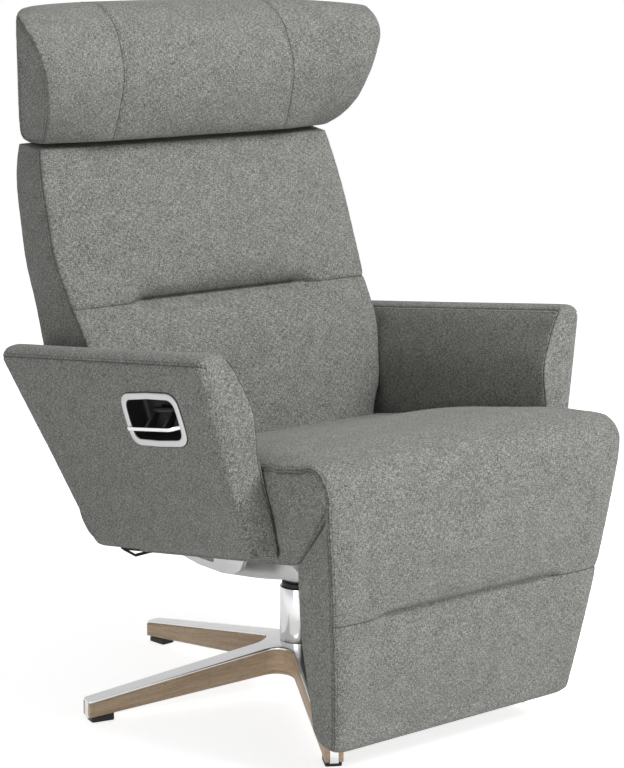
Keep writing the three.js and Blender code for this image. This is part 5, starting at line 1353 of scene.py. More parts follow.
@dataclass
class Headrest(Cover):
    """The winged headrest: a middle panel between two curved seams, wings and end panels."""

    bottom: float = 886.0
    height: float = 221.0
    half: float = 352.0
    front: float = 232.0
    forward: float = 103.0
    depth: float = 156.0
    rear_lean: float = 22.0
    end_round: float = 26.0
    end_fall: float = 4.5
    end_soft: float = 10.0
    wing_drop: float = 14.0
    seam_x: float = 172.0
    cut: tuple = (12.0, 52.0, 1.65)
    front_shares: tuple = ((0, 0.3), (0.05, 0.26), (0.265, 0.1), (0.48, 0), (0.65, 0.08), (0.875, 0.345), (1, 0.7))
    width_shares: tuple = ((0, 0.815), (0.07, 0.852), (0.2, 0.886), (0.4, 0.92), (0.63, 0.957), (0.82, 0.994),
                           (0.95, 1.006), (1, 1))
    wing_shares: tuple = ((0, 0.58), (0.067, 0.38), (0.2, 0.087), (0.4, -0.126), (0.63, -0.223), (0.825, -0.146),
                          (0.9, -0.02), (1, 0.22))
    sections: tuple = (
        ((0.02, 0.02), (0.06, 0.0), (0.1, 0), (0.2, 0), (0.32, 0), (0.44, 0), (0.56, 0), (0.68, 0), (0.8, 0), (0.9, 0),
         (0.95, 0.012), (0.98, 0.06)),
        ((0.98, 0.06), (0.995, 0.14), (1, 0.4), (1, 0.7), (0.985, 0.88)),
        ((0.985, 0.88), (0.96, 0.97), (0.9, 1), (0.7, 1), (0.45, 1), (0.2, 1), (0.06, 0.98), (0.02, 0.9)),
        ((0.02, 0.9), (0, 0.7), (0, 0.55), (0, 0.25), (0.006, 0.08), (0.02, 0.02)),
    )

    def station(self, across: float, counts: tuple) -> np.ndarray:
        """One section of the pillow in four sides: front, top, rear and bottom.

        Args:
            across: Share of the half width.
            counts: Steps of the front and rear, and of the top and bottom.

        Returns:
            The ring's points.
        """
        sides = [evenly(np.array(side, float), counts[i % 2]) for i, side in enumerate(self.sections)]
        share, deep = np.concatenate(sides).T
        half = self.half * sample(self.width_shares, share)
        seam_share = self.seam_x / self.half
        outer = np.clip((abs(across) - seam_share) / (1 - seam_share), 0, 1)
        inner = min(abs(across) / seam_share, 1)
        seam_at = self.seam_x + lerp(3.0, -4.0, share)
        x = inner * seam_at + outer * (half - seam_at)
        front_share, wing_share = sample(self.front_shares, share), sample(self.wing_shares, share)
        front = self.front + self.forward * lerp(front_share, wing_share, smooth(x, self.seam_x, half))
        flat = self.front + self.depth + self.rear_lean * (share - 0.5)
        slant = self.front + self.cut[1] + (self.half - self.cut[0] - x) * self.cut[2]
        rear = (flat + slant - np.hypot(slant - flat, self.end_round)) / 2
        low, high = self.bottom, self.bottom + self.height - self.wing_drop * abs(across) ** 4
        fall = self.end_fall * float(rounded_off(self.half * (1 - abs(across)), self.end_soft))
        section = drawn_in(np.column_stack([lerp(front, rear, deep), lerp(low, high, share)]), fall)
        return np.column_stack([math.copysign(1, across) * x, section])

    def build(self) -> None:
        """Builds the headrest's cover."""
        counts = (34, 18)
        shares = spaced((-self.half, -self.seam_x, self.seam_x, self.half), 10.0) / self.half
        rings = np.array([self.station(across, counts) for across in shares])
        index = np.arange(rings.shape[1])
        ends = smooth(self.half * (1 - np.abs(shares)), 2, 50)[:, None]
        at_seam = 1 - bell(self.half * np.abs(shares) - self.seam_x, 7)[:, None] * 0.9
        front = np.where(index <= counts[0], 1.0, 0.35)[None]
        ease = ends * at_seam * front
        skin = Skin(rings, *counts, ease, cap_ease=0.5, cap_crowns=(3.0, 3.0))
        seams = [Seam(np.concatenate([ring, ring[:1]]), 1.8, 2.2, offset)
                 for ring, offset in ((rings[0], 5.0), (rings[-1], -5.0))]
        for side in (-1, 1):
            row = int(np.argmin(np.abs(shares - side * self.seam_x / self.half)))
            seams.append(Seam(rings[row][:sum(counts) + counts[0]], 1.8, 2.2, side * 5.0))
        parts = self.finish("headrest_padding", skin.mesh(), seams, 3.5, 10.0)
        self.dress(parts, Body.HEADREST, ("headrest_cushion",), 0.75)


# Arms


@dataclass
class Arms(Cover):
    """Both arms: flared shells with a padded crest, sewn front panels and a cup's opening on the right."""

    inner: float = 281.0
    inner_flare: float = 4.0
    top_inner: float = 329.0
    outer_top: float = 382.0
    outer_low: float = 316.0
    front_bottom: tuple = (-283.0, 332.0)
    front_top: tuple = (-250.0, 619.0)
    rear_bottom: tuple = (116.0, 268.0)
    rear_top: tuple = (286.0, 557.0)
    crown: float = 15.0
    shoulder: float = 0.72
    end_round: float = 9.0
    end_fall: float = 5.0
    front_round: float = 15.0
    toe: float = 24.0
    face_share: float = 0.7
    face_rear: float = 218.56
    steps: tuple = (9.0, 7.0)

    @property
    def height(self) -> float:
        """Height of the arm's front."""
        return self.front_top[1] - self.front_bottom[1]

    def outline(self) -> list:
        """The arm's section in four sides of X and height: inner face, crest, outer face and underside."""
        height = self.height
        corners = [(self.inner, 0, 5), (self.inner + self.inner_flare, height * (self.shoulder + 0.03), 26),
                   (self.top_inner, height + self.crown, 34),
                   (lerp(self.top_inner, self.outer_top, self.shoulder), height + self.crown, 17),
                   (self.outer_top, height, 7), (self.outer_low, 0, 14)]
        points, middles = rounded_outline(corners, 12)
        first, crest, outer, low = middles[0], middles[2], middles[4], middles[5]
        wrapped = np.concatenate([points, points[:first + 1]])
        return [wrapped[first:crest + 1], wrapped[crest:outer + 1], wrapped[outer:low + 1],
                wrapped[low:len(points) + first + 1]]

    def rings(self, counts: tuple) -> tuple:
        """Rings from the front panel to the rear.

        Args:
            counts: Steps of the faces, and of the crest and underside.

        Returns:
            The rings, and their distances from the front.
        """
        ring = []
        for i, side in enumerate(self.outline()):
            stops = spaced((0.0, float(lengths(side)[-1])), self.steps[i % 2])
            steps, shares = np.linspace(0, 1, counts[i % 2] + 1), stops / stops[-1]
            ring.append(respaced(side, np.interp(steps, np.linspace(0, 1, len(shares)), shares))[:-1])
        flat = np.concatenate(ring)
        length = self.rear_bottom[0] - self.front_bottom[0]
        places = spaced((0.0, length), 10.0)
        rings = []
        long, short = counts
        outside = np.interp(np.arange(len(flat)), [long, long + short, 2 * long + short, len(flat) - 1], [0, 1, 1, 0])
        for place in places:
            t = place / length
            fall = self.end_fall * float(rounded_off(min(place, length - place), self.end_round))
            wrap = self.front_round * float(rounded_off(place, self.front_round)) * outside
            x, up = drawn_in(flat, fall).T
            x = x - wrap * 0.85
            up = np.minimum(up, self.height + self.crown - wrap * 0.3)
            share = up / self.height
            toe = self.toe * (1 - smooth(share, 0.0, 0.55)) * (1 - outside)
            front = lerp(self.front_bottom[0], self.front_top[0], share) - toe
            rear = lerp(self.rear_bottom[0], self.rear_top[0], share)
            low = lerp(self.front_bottom[1], self.rear_bottom[1], t)
            high = lerp(self.front_top[1], self.rear_top[1], t)
            rings.append(np.column_stack([x, lerp(front, rear, t), lerp(low, high, share)]))
        return np.array(rings), places

    def face_at(self, y: float, z: float) -> float:
        """How far out the arm's outer face lies at a place."""
        front = lerp(self.front_bottom[0], self.front_top[0], self.face_share)
        station = (y - front) / (self.face_rear - front)
        low = lerp(self.front_bottom[1], self.rear_bottom[1], station)
        high = lerp(self.front_top[1], self.rear_top[1], station)
        return lerp(self.outer_low, self.outer_top, (z - low) / (high - low))

    def build_one(self, side: Side, cup: "ReleaseLever") -> None:
        """Builds one arm.

        Args:
            side: Which arm.
            cup: The lever's cup, which is let into the sitter's right arm.
        """
        counts = (38, 14)
        rings, places = self.rings(counts)
        rings = rings * (side.value, 1, 1)
        index = np.arange(rings.shape[1])
        length = places[-1]
        ends = smooth(np.minimum(places, length - places), 3, 60)[:, None]
        long, short = counts
        around = np.interp(index, [0, 5, long, long + short / 2, long + short, long + short + 5, 2 * long + short - 4,
                                   2 * long + short, 2 * (long + short)],
                           [0.1, 0.5, 0.9, 1.0, 0.05, 0.7, 0.5, 0.1, 0.1])[None]
        ease = ends * around
        if side is Side.RIGHT:
            ease = ease * smooth(np.linalg.norm((rings - cup.centre) / (1, 1.1, 0.8), axis=-1), 70, 130)
        skin = Skin(rings, long, short, ease, cap_ease=0.7, cap_crowns=(4.0, 4.0))
        hand = side.value
        rear_loop = np.concatenate([rings[-1], rings[-1][:1]])
        inner_edge = np.concatenate([rings[0, :long + 1], rings[:, long]])
        seams = [Seam(rings[:, long + short], 1.6, 2.2, hand * 5.0), Seam(inner_edge, 1.4, 2.0, hand * 5.0),
                 Seam(rear_loop, 1.6, 2.2, -hand * 5.0)]
        cover = made_object(f"arm_padding_{side.word}", skin.mesh(), self.palette.wool)
        swell(cover, 3.0, 8.0)
        subdivided(cover)
        if side is Side.RIGHT:
            cup.open_in(cover)
        self.dress(self.sewn(cover, seams), Body.CHAIR, (f"arm_{side.word}",), 0.8)

    def build(self, cup: "ReleaseLever") -> None:
        """Builds both arms, the right one round the lever's cup."""
        for side in Side:
            self.build_one(side, cup)


# Hard pieces


def lathe(name: str, profile: list, material: bpy.types.Material) -> bpy.types.Object:
    """Spins a closed profile about the swivel axis.

    Args:
        name: The piece's name.
        profile: Radius and height of each corner, in order.
        material: Its finish.

    Returns:
        The object.
    """
    bm = bmesh.new()
    corners = [bm.verts.new(placed((radius, 0, height))) for radius, height in profile]
    edges = [bm.edges.new(pair) for pair in zip(corners, corners[1:] + corners[:1])]
    bmesh.ops.spin(bm, geom=corners + edges, cent=placed((0, 0, 0)), axis=(0, 0, 1), angle=2 * math.pi,
                   steps=96, use_merge=True)
    weld(bm)
    soften_edges(bm, 0.5)
    return made_object(name, bm, material, sharp=40)


def soften_edges(bm: bmesh.types.BMesh, width: float, past: float = 35.0) -> None:
    """Bevels the edges past an angle in degrees, by a width in millimetres."""
    sharp = [edge for edge in bm.edges if len(edge.link_faces) == 2 and edge.calc_face_angle(0) > math.radians(past)]
    bmesh.ops.bevel(bm, geom=sharp, offset=width * MM, offset_type="OFFSET", segments=2, profile=0.5,
                    affect="EDGES", material=-1, clamp_overlap=True)


def slab(bm: bmesh.types.BMesh, outline: np.ndarray, rise: np.ndarray) -> None:
    """Extrudes a closed outline.

    Args:
        bm: The mesh.
        outline: The outline's points in millimetres from the swivel axis.
        rise: The way it is extruded.
    """
    ring = bmesh.ops.create_circle(bm, cap_ends=True, segments=len(outline), radius=1)["verts"]
    for vert, place in zip(ring, placed(outline)):
        vert.co = place
    face = ring[0].link_faces[0]
    grown = bmesh.ops.extrude_face_region(bm, geom=[face], use_keep_orig=True)["geom"]
    bmesh.ops.translate(bm, verts=[v for v in grown if isinstance(v, bmesh.types.BMVert)], vec=np.asarray(rise) * MM)
    bmesh.ops.recalc_face_normals(bm, faces=bm.faces[:])


@dataclass
class StarBase:
    """The star base: a polished casting with bent oak strips between its legs."""

    palette: Palette
    legs: int = 5
    first_angle: float = math.radians(95.5)
    reach: float = 374.0
    half_width: float = 20.5
    tip_half: float = 14.0
    corner: float = 35.0
    tip_round: float = 5.0
    hub_top: float = 85.0
    hub_flat: float = 44.0
    tip_top: float = 35.0
    hub_under: float = 43.0
    tip_under: float = 6.5
    cap: float = 3.0
    wood: float = 7.0
    shadow: float = 1.2
    wood_lift: float = 1.5
    wood_inset: float = 0.8
    wood_edge: float = 1.0
    hole: float = 20.0
    spigot: float = 29.2
    spigot_length: float = 82.0
    spigot_middle: float = 84.0

    @property
    def half_sector(self) -> float:
        """Half the angle between two legs."""
        return math.pi / self.legs

    def leg_angle(self, leg: int) -> float:
        """Direction of a leg in plan."""
        return self.first_angle + leg * 2 * self.half_sector

    @property
    def taper(self) -> float:
        """Angle of a leg's side to its axis."""
        return math.atan2(self.half_width - self.tip_half, self.reach)

    def side_at(self, along: Numbers, inset: float) -> Numbers:
        """Distance of a leg's side from its axis."""
        return self.half_width - inset - np.asarray(along) * math.tan(self.taper)

    def fillet(self, inset: float) -> tuple:
        """The round between two legs, seen from the line halfway between them.

        Args:
            inset: Distance inside the outline.

        Returns:
            Distance of its centre from the hub, its radius, and half its angle.
        """
        opening = self.half_sector + self.taper
        radius = self.corner + inset
        centre = ((self.half_width - inset) * math.cos(self.taper) + radius) / math.sin(opening)
        return centre, radius, math.pi / 2 - opening

    def bend(self, inset: float) -> tuple:
        """Distances along a leg where the round to the next leg starts and where it ends."""
        centre, radius, _ = self.fillet(inset)
        middle = centre * math.cos(self.half_sector)
        return (centre - radius) * math.cos(self.half_sector), middle - radius * math.sin(self.taper)

    def top_at(self, radius: Numbers) -> Numbers:
        """Height of the upper side at a distance from the axis, its shoulder softly rounded."""
        slope = (self.hub_top - self.tip_top) / (self.reach - self.hub_flat)
        over = np.asarray(radius) - self.hub_flat
        return self.hub_top - slope * (over + np.sqrt(over**2 + 16)) / 2

    def under_at(self, radius: Numbers) -> Numbers:
        """Height of the underside at a distance from the axis."""
        return lerp(self.hub_under, self.tip_under, np.asarray(radius) / self.reach)

    def width_at(self, along: np.ndarray, inset: float, tip_round: float) -> np.ndarray:
        """Half width of a leg's sector at distances along it.

        Args:
            along: Distances from the hub.
            inset: Distance inside the outline.
            tip_round: Radius of the leg's end corners.

        Returns:
            Half widths, up to the line halfway to the next leg near the hub.
        """
        centre, radius, _ = self.fillet(inset)
        near, tangent = self.bend(inset)
        bisected = along * math.tan(self.half_sector)
        gap = np.clip(radius**2 - (centre * math.cos(self.half_sector) - along) ** 2, 0, None)
        arc = centre * math.sin(self.half_sector) - np.sqrt(gap)
        straight = self.side_at(along, inset)
        end = np.clip(along - (self.reach - tip_round), 0, tip_round)
        straight = straight - (tip_round - np.sqrt(np.maximum(tip_round**2 - end**2, 0)))
        return np.where(along < near, bisected, np.where(along < tangent, arc, straight))

    def plate(self, inset: float, tip_round: float, top_drop: float, low: Callable) -> bmesh.types.BMesh:
        """A star-shaped body between an upper side and an underside.

        Args:
            inset: Distance of its sides inside the star's outline.
            tip_round: Radius of the leg's end corners.
            top_drop: Distance of its top under the star's top.
            low: Function of the distance from the axis, giving its underside.

        Returns:
            The closed mesh.
        """
        near, tangent = self.bend(inset)
        along = np.concatenate([
            np.linspace(self.hole, near, 6)[:-1],
            near + (tangent - near) * (1 - np.cos(np.linspace(0, np.pi / 2, 13)[:-1])),
            np.linspace(tangent, self.reach - tip_round, 24)[:-1],
            self.reach - tip_round + tip_round * np.sin(np.linspace(0, np.pi / 2, 6))])
        across = np.linspace(-1, 1, 9)
        bm = bmesh.new()
        widths = self.width_at(along, inset, tip_round)
        for leg in range(self.legs):
            plan = turned_by(self.leg_angle(leg), along[:, None], widths[:, None] * across[None])
            height = self.top_at(np.linalg.norm(plan, axis=-1)) - top_drop
            grid(bm, np.concatenate([plan, height[..., None]], axis=-1))
        bmesh.ops.remove_doubles(bm, verts=bm.verts[:], dist=SOFT_WELD)
        grown = bmesh.ops.extrude_face_region(bm, geom=bm.faces[:], use_keep_orig=True)["geom"]
        for vert in (v for v in grown if isinstance(v, bmesh.types.BMVert)):
            vert.co.z = low(math.hypot(vert.co.x / MM, vert.co.y / MM - SETBACK)) * MM
        bmesh.ops.recalc_face_normals(bm, faces=bm.faces[:])
        soften_edges(bm, 0.7)
        return bm

    def build_casting(self) -> None:
        """Builds the cap with its core and spigot as one casting."""
        bm = self.plate(0.0, self.tip_round, 0.0, lambda r: float(self.top_at(r)) - self.cap)
        core = self.plate(self.wood + 0.3, self.wood_inset, self.cap - 0.2, lambda r: float(self.under_at(r)))
        core_mesh = bpy.data.meshes.new("core")
        core.to_mesh(core_mesh)
        core.free()
        bm.from_mesh(core_mesh)
        bpy.data.meshes.remove(core_mesh)
        radius = self.spigot * MM
        bmesh.ops.create_cone(bm, cap_ends=True, segments=64, radius1=radius, radius2=radius,
                              depth=self.spigot_length * MM,
                              matrix=Matrix.Translation(placed((0, 0, self.spigot_middle))))
        casting = made_object("star_casting", bm, self.palette.polished, sharp=38)
        dressed(casting, Body.BASE, ("star_base",))

    def strip_line(self, leg: int, inset: float) -> np.ndarray:
        """One edge of a strip in plan, from a leg's tip round the corner to the next leg's tip."""
        centre, radius, half_arc = self.fillet(inset)
        bisector = self.leg_angle(leg) + self.half_sector
        angles = bisector + np.pi + np.linspace(half_arc, -half_arc, 25)
        arc = turned_by(bisector, centre, 0.0) + radius * np.column_stack([np.cos(angles), np.sin(angles)])
        along = np.linspace(self.reach - self.wood_inset, self.bend(0.0)[1], 22)[:-1]
        near = turned_by(self.leg_angle(leg), along, self.side_at(along, inset))
        far = turned_by(self.leg_angle(leg + 1), along[::-1], -self.side_at(along[::-1], inset))
        return np.concatenate([near, arc, far])

    def build_strips(self) -> None:
        """Builds the oak strips with their grain along the bend."""
        insets = (0.0, self.wood_edge, self.wood - self.wood_edge, self.wood)
        for leg in range(self.legs):
            edges = [self.strip_line(leg, inset) for inset in insets]
            columns = []
            for edge, chamfered in zip(edges + edges[::-1], (1, 0, 0, 1, 1, 0, 0, 1)):
                radius = np.linalg.norm(edge, axis=1)
                upper = len(columns) < 4
                top = self.top_at(radius) - self.cap - self.shadow
                low = self.under_at(radius) + self.wood_lift
                z = top - chamfered * self.wood_edge if upper else low + chamfered * self.wood_edge
                columns.append(np.column_stack([edge, z]))
            rings = np.stack(columns + columns[:1], axis=1)
            run = lengths(rings[:, 0]) * MM
            around = lengths(rings[len(rings) // 2]) * MM
            uv = np.stack(np.meshgrid(around, run), axis=-1)[..., ::-1] + (leg * 0.7, leg * 0.31)
            bm = bmesh.new()
            grid(bm, rings, uv)
            weld(bm, STRIP_WELD, fill=True)
            strip = made_object(f"oak_strip_{leg + 1}", bm, self.palette.oak, sharp=50)
            dressed(strip, Body.BASE, (f"lamella_{leg + 1}",))

    def build(self) -> None:
        """Builds the base."""
        self.build_casting()
        self.build_strips()


@dataclass
class Column:
    """The column: a polished tube and the black flange at its top."""

    palette: Palette
    radius: float = 33.5
    wall: float = 4.0
    foot: float = 85.3
    top: float = 175.0
    flange_inset: float = 3.5
    flange: float = 7.0
    bush_foot: float = 160.0
    bore: float = 18.3

    def build(self) -> None:
        """Builds the tube and the upper bush."""
        bore = self.radius - self.wall
        tube = lathe("column_sleeve", [(bore, self.foot), (self.radius, self.foot), (self.radius, self.top),
                                       (bore, self.top)], self.palette.polished)
        dressed(tube, Body.BASE, ("column_tube",))
        outer, flange = bore - 0.3, self.radius - self.flange_inset
        bush = lathe("column_collar", [
            (self.bore, self.bush_foot), (outer, self.bush_foot), (outer, self.top + 0.3), (flange, self.top + 0.3),
            (flange, self.top + self.flange), (self.bore, self.top + self.flange)], self.palette.black_plastic)
        dressed(bush, Body.BASE, ("upper_bush",))


@dataclass
class Mechanism:
    """The cast bracket between the column and the seat's frame, with its arms, side plates and ribs."""

    palette: Palette
    seat: SeatForms
    bore: float = 18.3
    socket: tuple = ((25.0, 183.0), (28.5, 190.0), (30.0, 201.0), (30.0, 238.0))
    arm_half: float = 30.0
    arm_foot: float = 194.0
    plate: tuple = (186.0, 195.0)
    plate_ends: tuple = (-112.0, 80.0)
    plate_drop: float = 30.0
    bar: tuple = (-6.3, 1.7)
    bar_half: float = 214.0
    bar_ends: tuple = (-95.0, 45.0)
    bar_depth: float = 40.0
    pad_inner: float = 150.0
    rib: tuple = (21.0, 28.0)

    def plate_top(self, y: float) -> float:
        """Height of the side plates' upper edge at a place."""
        low, high = self.bar
        along = (y - low * math.sin(self.seat.tilt)) / math.cos(self.seat.tilt)
        return float(self.seat.at(along, low)[1]) + (high - low) / 2

    def side_plate(self, bm: bmesh.types.BMesh, corners: list, low: float, high: float) -> None:
        """Adds a plate between two places of X; its corners have Y, height and radius."""
        points, _ = rounded_outline(corners, 5)
        slab(bm, np.column_stack([np.full(len(points), low), points]), (high - low, 0, 0))

    def bar_across(self, bm: bmesh.types.BMesh, along: float, low: float, high: float) -> None:
        """Adds a flat bar under the seat's frame.

        Args:
            bm: The mesh.
            along: Its place along the seat.
            low: X of its first end.
            high: X of its second end.
        """
        half = self.bar_depth / 2
        places = self.seat.at(np.array([along - half, along + half, along + half, along - half]),
                              np.array([self.bar[0], self.bar[0], self.bar[1], self.bar[1]]))
        slab(bm, np.column_stack([np.full(4, low), places]), (high - low, 0, 0))

    def build(self) -> None:
        """Builds the bracket."""
        bm = bmesh.new()
        top, (inner, outer), (front, rear) = self.socket[-1][1], self.plate, self.plate_ends
        low = self.plate_top(0) - self.plate_drop
        thick = self.bar[1] - self.bar[0]
        for side in (-1, 1):
            arm = [(24, self.arm_foot, 3), (inner * 0.5, lerp(self.arm_foot, top, 0.3), 40), (outer, top, 22),
                   (outer, self.plate_top(self.arm_half), 2), (inner * 0.55, top, 30), (24, top, 3)]
            points, _ = rounded_outline(arm, 6)
            slab(bm, np.column_stack([side * points[:, 0], np.full(len(points), -self.arm_half), points[:, 1]]),
                 (0, 2 * self.arm_half, 0))
            self.side_plate(bm, [
                (front, self.plate_top(front) - thick, 4), (front * 0.8, low, 34), (rear * 0.4, low, 34),
                (rear, self.plate_top(rear) - thick, 4), (rear, self.plate_top(rear), 3),
                (front, self.plate_top(front), 3)], side * inner, side * outer)
            rib_front, rib_rear = self.bar_ends
            self.side_plate(bm, [
                (-18, self.arm_foot, 3), (rib_rear * 0.6, self.arm_foot, 14), (rib_rear, self.plate_top(rib_rear), 3),
                (rib_front, self.plate_top(rib_front), 3),
                (rib_front, self.plate_top(rib_front) - self.plate_drop / 2, 6)],
                side * self.rib[0], side * self.rib[1])
            self.bar_across(bm, rib_rear, side * self.pad_inner, side * self.bar_half)
        self.bar_across(bm, self.bar_ends[0], -self.bar_half, self.bar_half)
        bmesh.ops.remove_doubles(bm, verts=bm.verts[:], dist=WELD)
        soften_edges(bm, 1.6, 50.0)
        casting = made_object("mechanism_casting", bm, self.palette.satin, sharp=40)
        dressed(casting, Body.CHAIR, ("swivel_bracket",))
        corners = [(self.bore, self.socket[0][1]), *self.socket, (self.bore, top)]
        dressed(lathe("mechanism_socket", corners, self.palette.satin), Body.CHAIR)


@dataclass
class ReleaseLever:
    """The release lever in its cup on the sitter's right arm."""

    palette: Palette
    arms: Arms
    ahead: float = 115.0
    z: float = 518.0
    length: float = 143.0
    tall: float = 80.0
    turn: float = math.radians(8.8)
    corner: float = 22.0
    bow: float = 2.4
    rim: float = 10.0
    proud: float = 2.5
    wall: float = 2.5
    depth: float = 36.0
    rear_reach: float = 69.0
    front_reach: float = 42.0
    hook_reach: float = 54.0
    hook_depth: float = 14.0
    bar_height: float = 5.5
    bar_thick: float = 4.0
    bar_clear: float = 1.0
    bar_below: float = 16.0

    @property
    def centre(self) -> np.ndarray:
        """Middle of the cup on the arm's face."""
        return np.array([-self.arms.face_at(-self.ahead, self.z), -self.ahead, self.z])

    def basis(self) -> np.ndarray:
        """Directions out of the arm's face, forwards and up along it, one a row."""
        y, step = -self.ahead, self.length / 2
        out = self.arms.face_at(y, self.z)
        forward = np.array([out - self.arms.face_at(y - step, self.z), -step, 0])
        forward /= np.linalg.norm(forward)
        up = np.array([out - self.arms.face_at(y, self.z + step), 0, step])
        outwards = np.cross(forward, up)
        outwards /= np.linalg.norm(outwards)
        up = np.cross(outwards, forward)
        cos, sin = math.cos(self.turn), math.sin(self.turn)
        return np.array([outwards, cos * forward + sin * up, -sin * forward + cos * up])

    def on_face(self, places: np.ndarray) -> np.ndarray:
        """Places given out of the face, forwards and up, as places from the swivel axis."""
        return self.centre + np.asarray(places, float) @ self.basis()

    def ring(self, inset: float, out: float) -> np.ndarray:
        """A rounded outline parallel to the face.

        Args:
            inset: Distance inside the rim's outer edge.
            out: Distance out of the face.

        Returns:
            The outline's points.
        """
        reach, rise, radius = self.length / 2 - inset, self.tall / 2 - inset, self.corner - inset * 0.8
        corners = [(-reach, -rise, radius), (0, -rise, 1), (reach, -rise, radius), (reach, 0, 1),
                   (reach, rise, radius), (0, rise, 1), (-reach, rise, radius), (-reach, 0, 1)]
        points, _ = rounded_outline(corners, 8)
        points += np.clip(points / (reach, rise), -1, 1) * self.bow * (1 - (points[:, ::-1] / (rise, reach)) ** 2)
        return self.on_face(np.column_stack([np.full(len(points), out), points]))

    def ringed(self, name: str, rings: list, material: bpy.types.Material, closed: bool,
               sharp: float) -> bpy.types.Object:
        """A body whose skin runs through rings.

        Args:
            name: The piece's name.
            rings: The rings in order.
            material: Its finish.
            closed: Whether the last ring meets the first; if not, the end rings are filled.
            sharp: Angle in degrees past which an edge is sharp.

        Returns:
            The object.
        """
        rows = np.array(rings + rings[:1] if closed else rings)
        bm = bmesh.new()
        grid(bm, np.concatenate([rows, rows[:, :1]], axis=1))
        weld(bm, fill=not closed)
        return made_object(name, bm, material, sharp=sharp)

    def open_in(self, cover: bpy.types.Object) -> None:
        """Cuts the cup's opening into the arm's cover.

        Args:
            cover: The arm's cover.
        """
        inset = self.rim - self.wall - 0.3
        cutter = self.ringed("cutter", [self.ring(inset, -self.depth - 0.5), self.ring(inset, 30.0)],
                             self.palette.wool, False, 30.0)
        cut = cover.modifiers.new("opening", "BOOLEAN")
        cut.operation = "DIFFERENCE"
        cut.solver = "EXACT"
        cut.object = cutter
        apply_modifiers(cover)
        bpy.data.objects.remove(cutter)

    def build(self) -> None:
        """Builds the rim, the cup and the bar."""
        low, top = 0.3, self.proud
        rim = self.ringed("lever_frame", [
            self.ring(0, low), self.ring(0, top - 1.0), self.ring(0.4, top - 0.3), self.ring(1.2, top),
            self.ring(self.rim - 1.2, top), self.ring(self.rim - 0.4, top - 0.3), self.ring(self.rim, top - 1.0),
            self.ring(self.rim, low)], self.palette.satin, True, 50.0)
        dressed(rim, Body.CHAIR, ("lever_rim",))
        shell = self.rim - self.wall
        # The black lip 1.2 mm past the rim's outer edge, from 0.3 under to 0.2 over the face, is painted shadow: it
        # draws the rim's contact shadow on the cloth.
        cup = self.ringed("lever_recess", [
            self.ring(shell, -self.depth), self.ring(shell, -0.3), self.ring(-1.2, -0.3), self.ring(-1.2, 0.2),
            self.ring(self.rim, 0.2), self.ring(self.rim, -26.0),
            self.ring(self.rim + 1.2, -30.0), self.ring(self.rim + 3.5, -32.6), self.ring(self.rim + 7.0, -33.5)],
            self.palette.black_plastic, False, 60.0)
        dressed(cup, Body.CHAIR, ("lever_cup",))
        self.build_bar()

    def build_bar(self) -> None:
        """Builds the flat bar that lies over the rim and hooks into the cup."""
        inner = self.proud + self.bar_clear
        outer, hook = inner + self.bar_thick, inner - self.hook_depth
        corners = [(inner, -self.rear_reach, 0.6), (outer, -self.rear_reach, 2.6),
                   (outer, self.front_reach, self.bar_thick * 1.6), (hook + self.bar_thick, self.hook_reach, 1.2),
                   (hook, self.hook_reach - 2, 1.2), (inner, self.front_reach - 2, self.bar_thick)]
        points, _ = rounded_outline(corners, 6)
        outline = self.on_face(np.column_stack([points, np.full(len(points), -self.bar_below)]))
        bm = bmesh.new()
        slab(bm, outline, self.basis()[2] * self.bar_height)
        bmesh.ops.remove_doubles(bm, verts=bm.verts[:], dist=WELD)
        soften_edges(bm, 0.7, 60.0)
        bar = made_object("lever_bar", bm, self.palette.rod_chrome, sharp=35)
        dressed(bar, Body.LEVER, ("lever_handle",))


def dress_carried_nodes(palette: Palette) -> None:
    """Gives every CAD node its slot's finish.

    Args:
        palette: The finishes.
    """
    for part in frame["record"]["subparts"]:
        node = frame["nodes"][part["node"]]
        node.data.materials.clear()
        node.data.materials.append(getattr(palette, part["material_slot"]))


# Studio


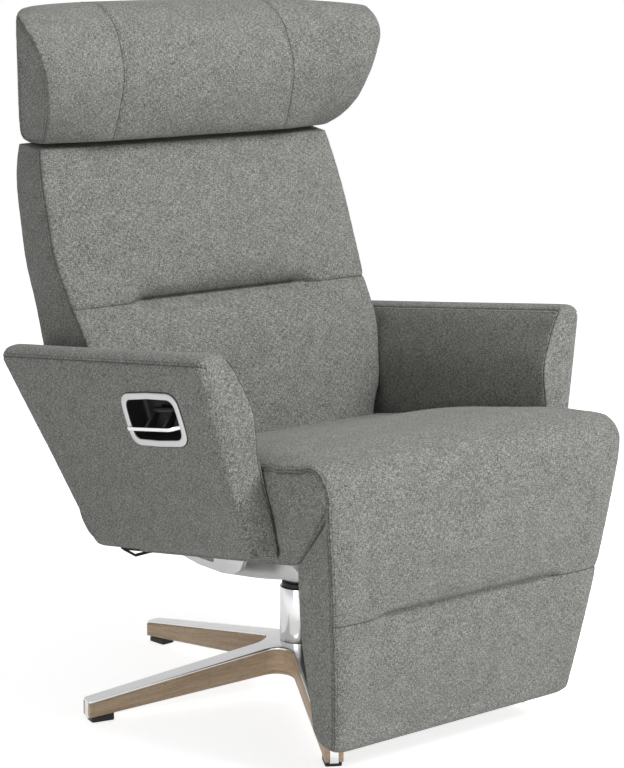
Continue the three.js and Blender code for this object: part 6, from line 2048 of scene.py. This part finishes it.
@dataclass
class Studio:
    """A pale floor, a white surround, the camera at the photograph's angle and soft lamps.

    A lamp has a name, a place, what it points at, its width in metres and its power in watts.
    """

    camera_at: tuple = (-2.26998, -2.85633, 1.23627)
    yaw: float = 0.673
    pitch: float = 0.196
    lens: float = 109.4
    surround: float = 0.24
    gloss: float = 0.8
    floor_glow: float = 0.74
    lamps: tuple = (("key", (1.2, -3.2, 3.5), (0.0, 0.0, 0.5), 2.2, 158.0),
                    ("fill", (-3.2, -1.6, 0.6), (0.0, 0.0, 0.25), 1.4, 18.0),
                    ("top", (0.2, 0.8, 3.6), (0.0, 0.0, 0.5), 2.6, 9.0))

    def build_camera(self) -> None:
        """Places the camera."""
        data = bpy.data.cameras.new("camera")
        data.lens = self.lens
        data.sensor_width = 36.0
        data.clip_end = 100.0
        camera = bpy.data.objects.new("camera", data)
        camera.location = self.camera_at
        camera.rotation_euler = (math.pi / 2 - self.pitch, 0, -self.yaw)
        bpy.context.scene.collection.objects.link(camera)
        bpy.context.scene.camera = camera

    def build_surround(self) -> None:
        """Makes the world: white to the eye and in gloss, softer as light."""
        world = bpy.data.worlds.new("studio")
        bpy.context.scene.world = world
        shade = Shade(world)
        back = shade.tree.nodes["Background"].inputs
        rays = shade.node("ShaderNodeLightPath").outputs
        shiny = shade.math("MAXIMUM", rays["Is Glossy Ray"], rays["Is Transmission Ray"])
        light = shade.math("MAXIMUM", rays["Is Camera Ray"], shade.spread(shiny, self.surround, self.gloss))
        shade.put(back["Color"], (1, 1, 1, 1))
        shade.put(back["Strength"], light)

    def build_floor(self) -> None:
        """Makes the floor, which shows white and keeps the chair's shadow."""
        shade = Shade.named("pale_floor")
        grain = shade.noise(shade.place(), 3.0, 2.0)
        inputs = shade.shader.inputs
        shade.put(inputs["Base Color"], shade.mix(grain, (0.86, 0.86, 0.86, 1), (0.9, 0.9, 0.9, 1)))
        shade.put(inputs["Roughness"], 0.9)
        shade.put(inputs["Emission Color"], (1, 1, 1, 1))
        rays = shade.node("ShaderNodeLightPath").outputs
        seen = shade.math("MAXIMUM", rays["Is Camera Ray"], rays["Is Glossy Ray"])
        shade.put(inputs["Emission Strength"], shade.math("MULTIPLY", seen, self.floor_glow))
        bm = bmesh.new()
        bmesh.ops.create_circle(bm, cap_ends=True, segments=96, radius=14)
        floor = made_object("floor", bm, shade.owner)

    def build_lamps(self) -> None:
        """Adds the soft lamps."""
        for name, place, aim, size, power in self.lamps:
            data = bpy.data.lights.new(name, "AREA")
            data.shape, data.size, data.energy = "SQUARE", size, power
            lamp = bpy.data.objects.new(name, data)
            lamp.location = place
            lamp.rotation_euler = (Vector(aim) - Vector(place)).to_track_quat("-Z", "Y").to_euler()
            bpy.context.scene.collection.objects.link(lamp)

    def build(self) -> None:
        """Sets the whole studio."""
        self.build_camera()
        self.build_surround()
        self.build_floor()
        self.build_lamps()
        bpy.context.scene.view_settings.view_transform = "Standard"


def main() -> None:
    """Builds the studio, then the chair from the floor up."""
    logging.basicConfig(level=logging.INFO, format="%(name)s: %(message)s")
    palette = Palette()
    Studio().build()
    dress_carried_nodes(palette)
    StarBase(palette).build()
    Column(palette).build()
    seat = SeatForms(palette)
    Mechanism(palette, seat).build()
    seat.build()
    Backrest(palette).build()
    Headrest(palette).build()
    arms = Arms(palette)
    lever = ReleaseLever(palette, arms)
    arms.build(lever)
    lever.build()


if __name__ == "__main__":
    main()
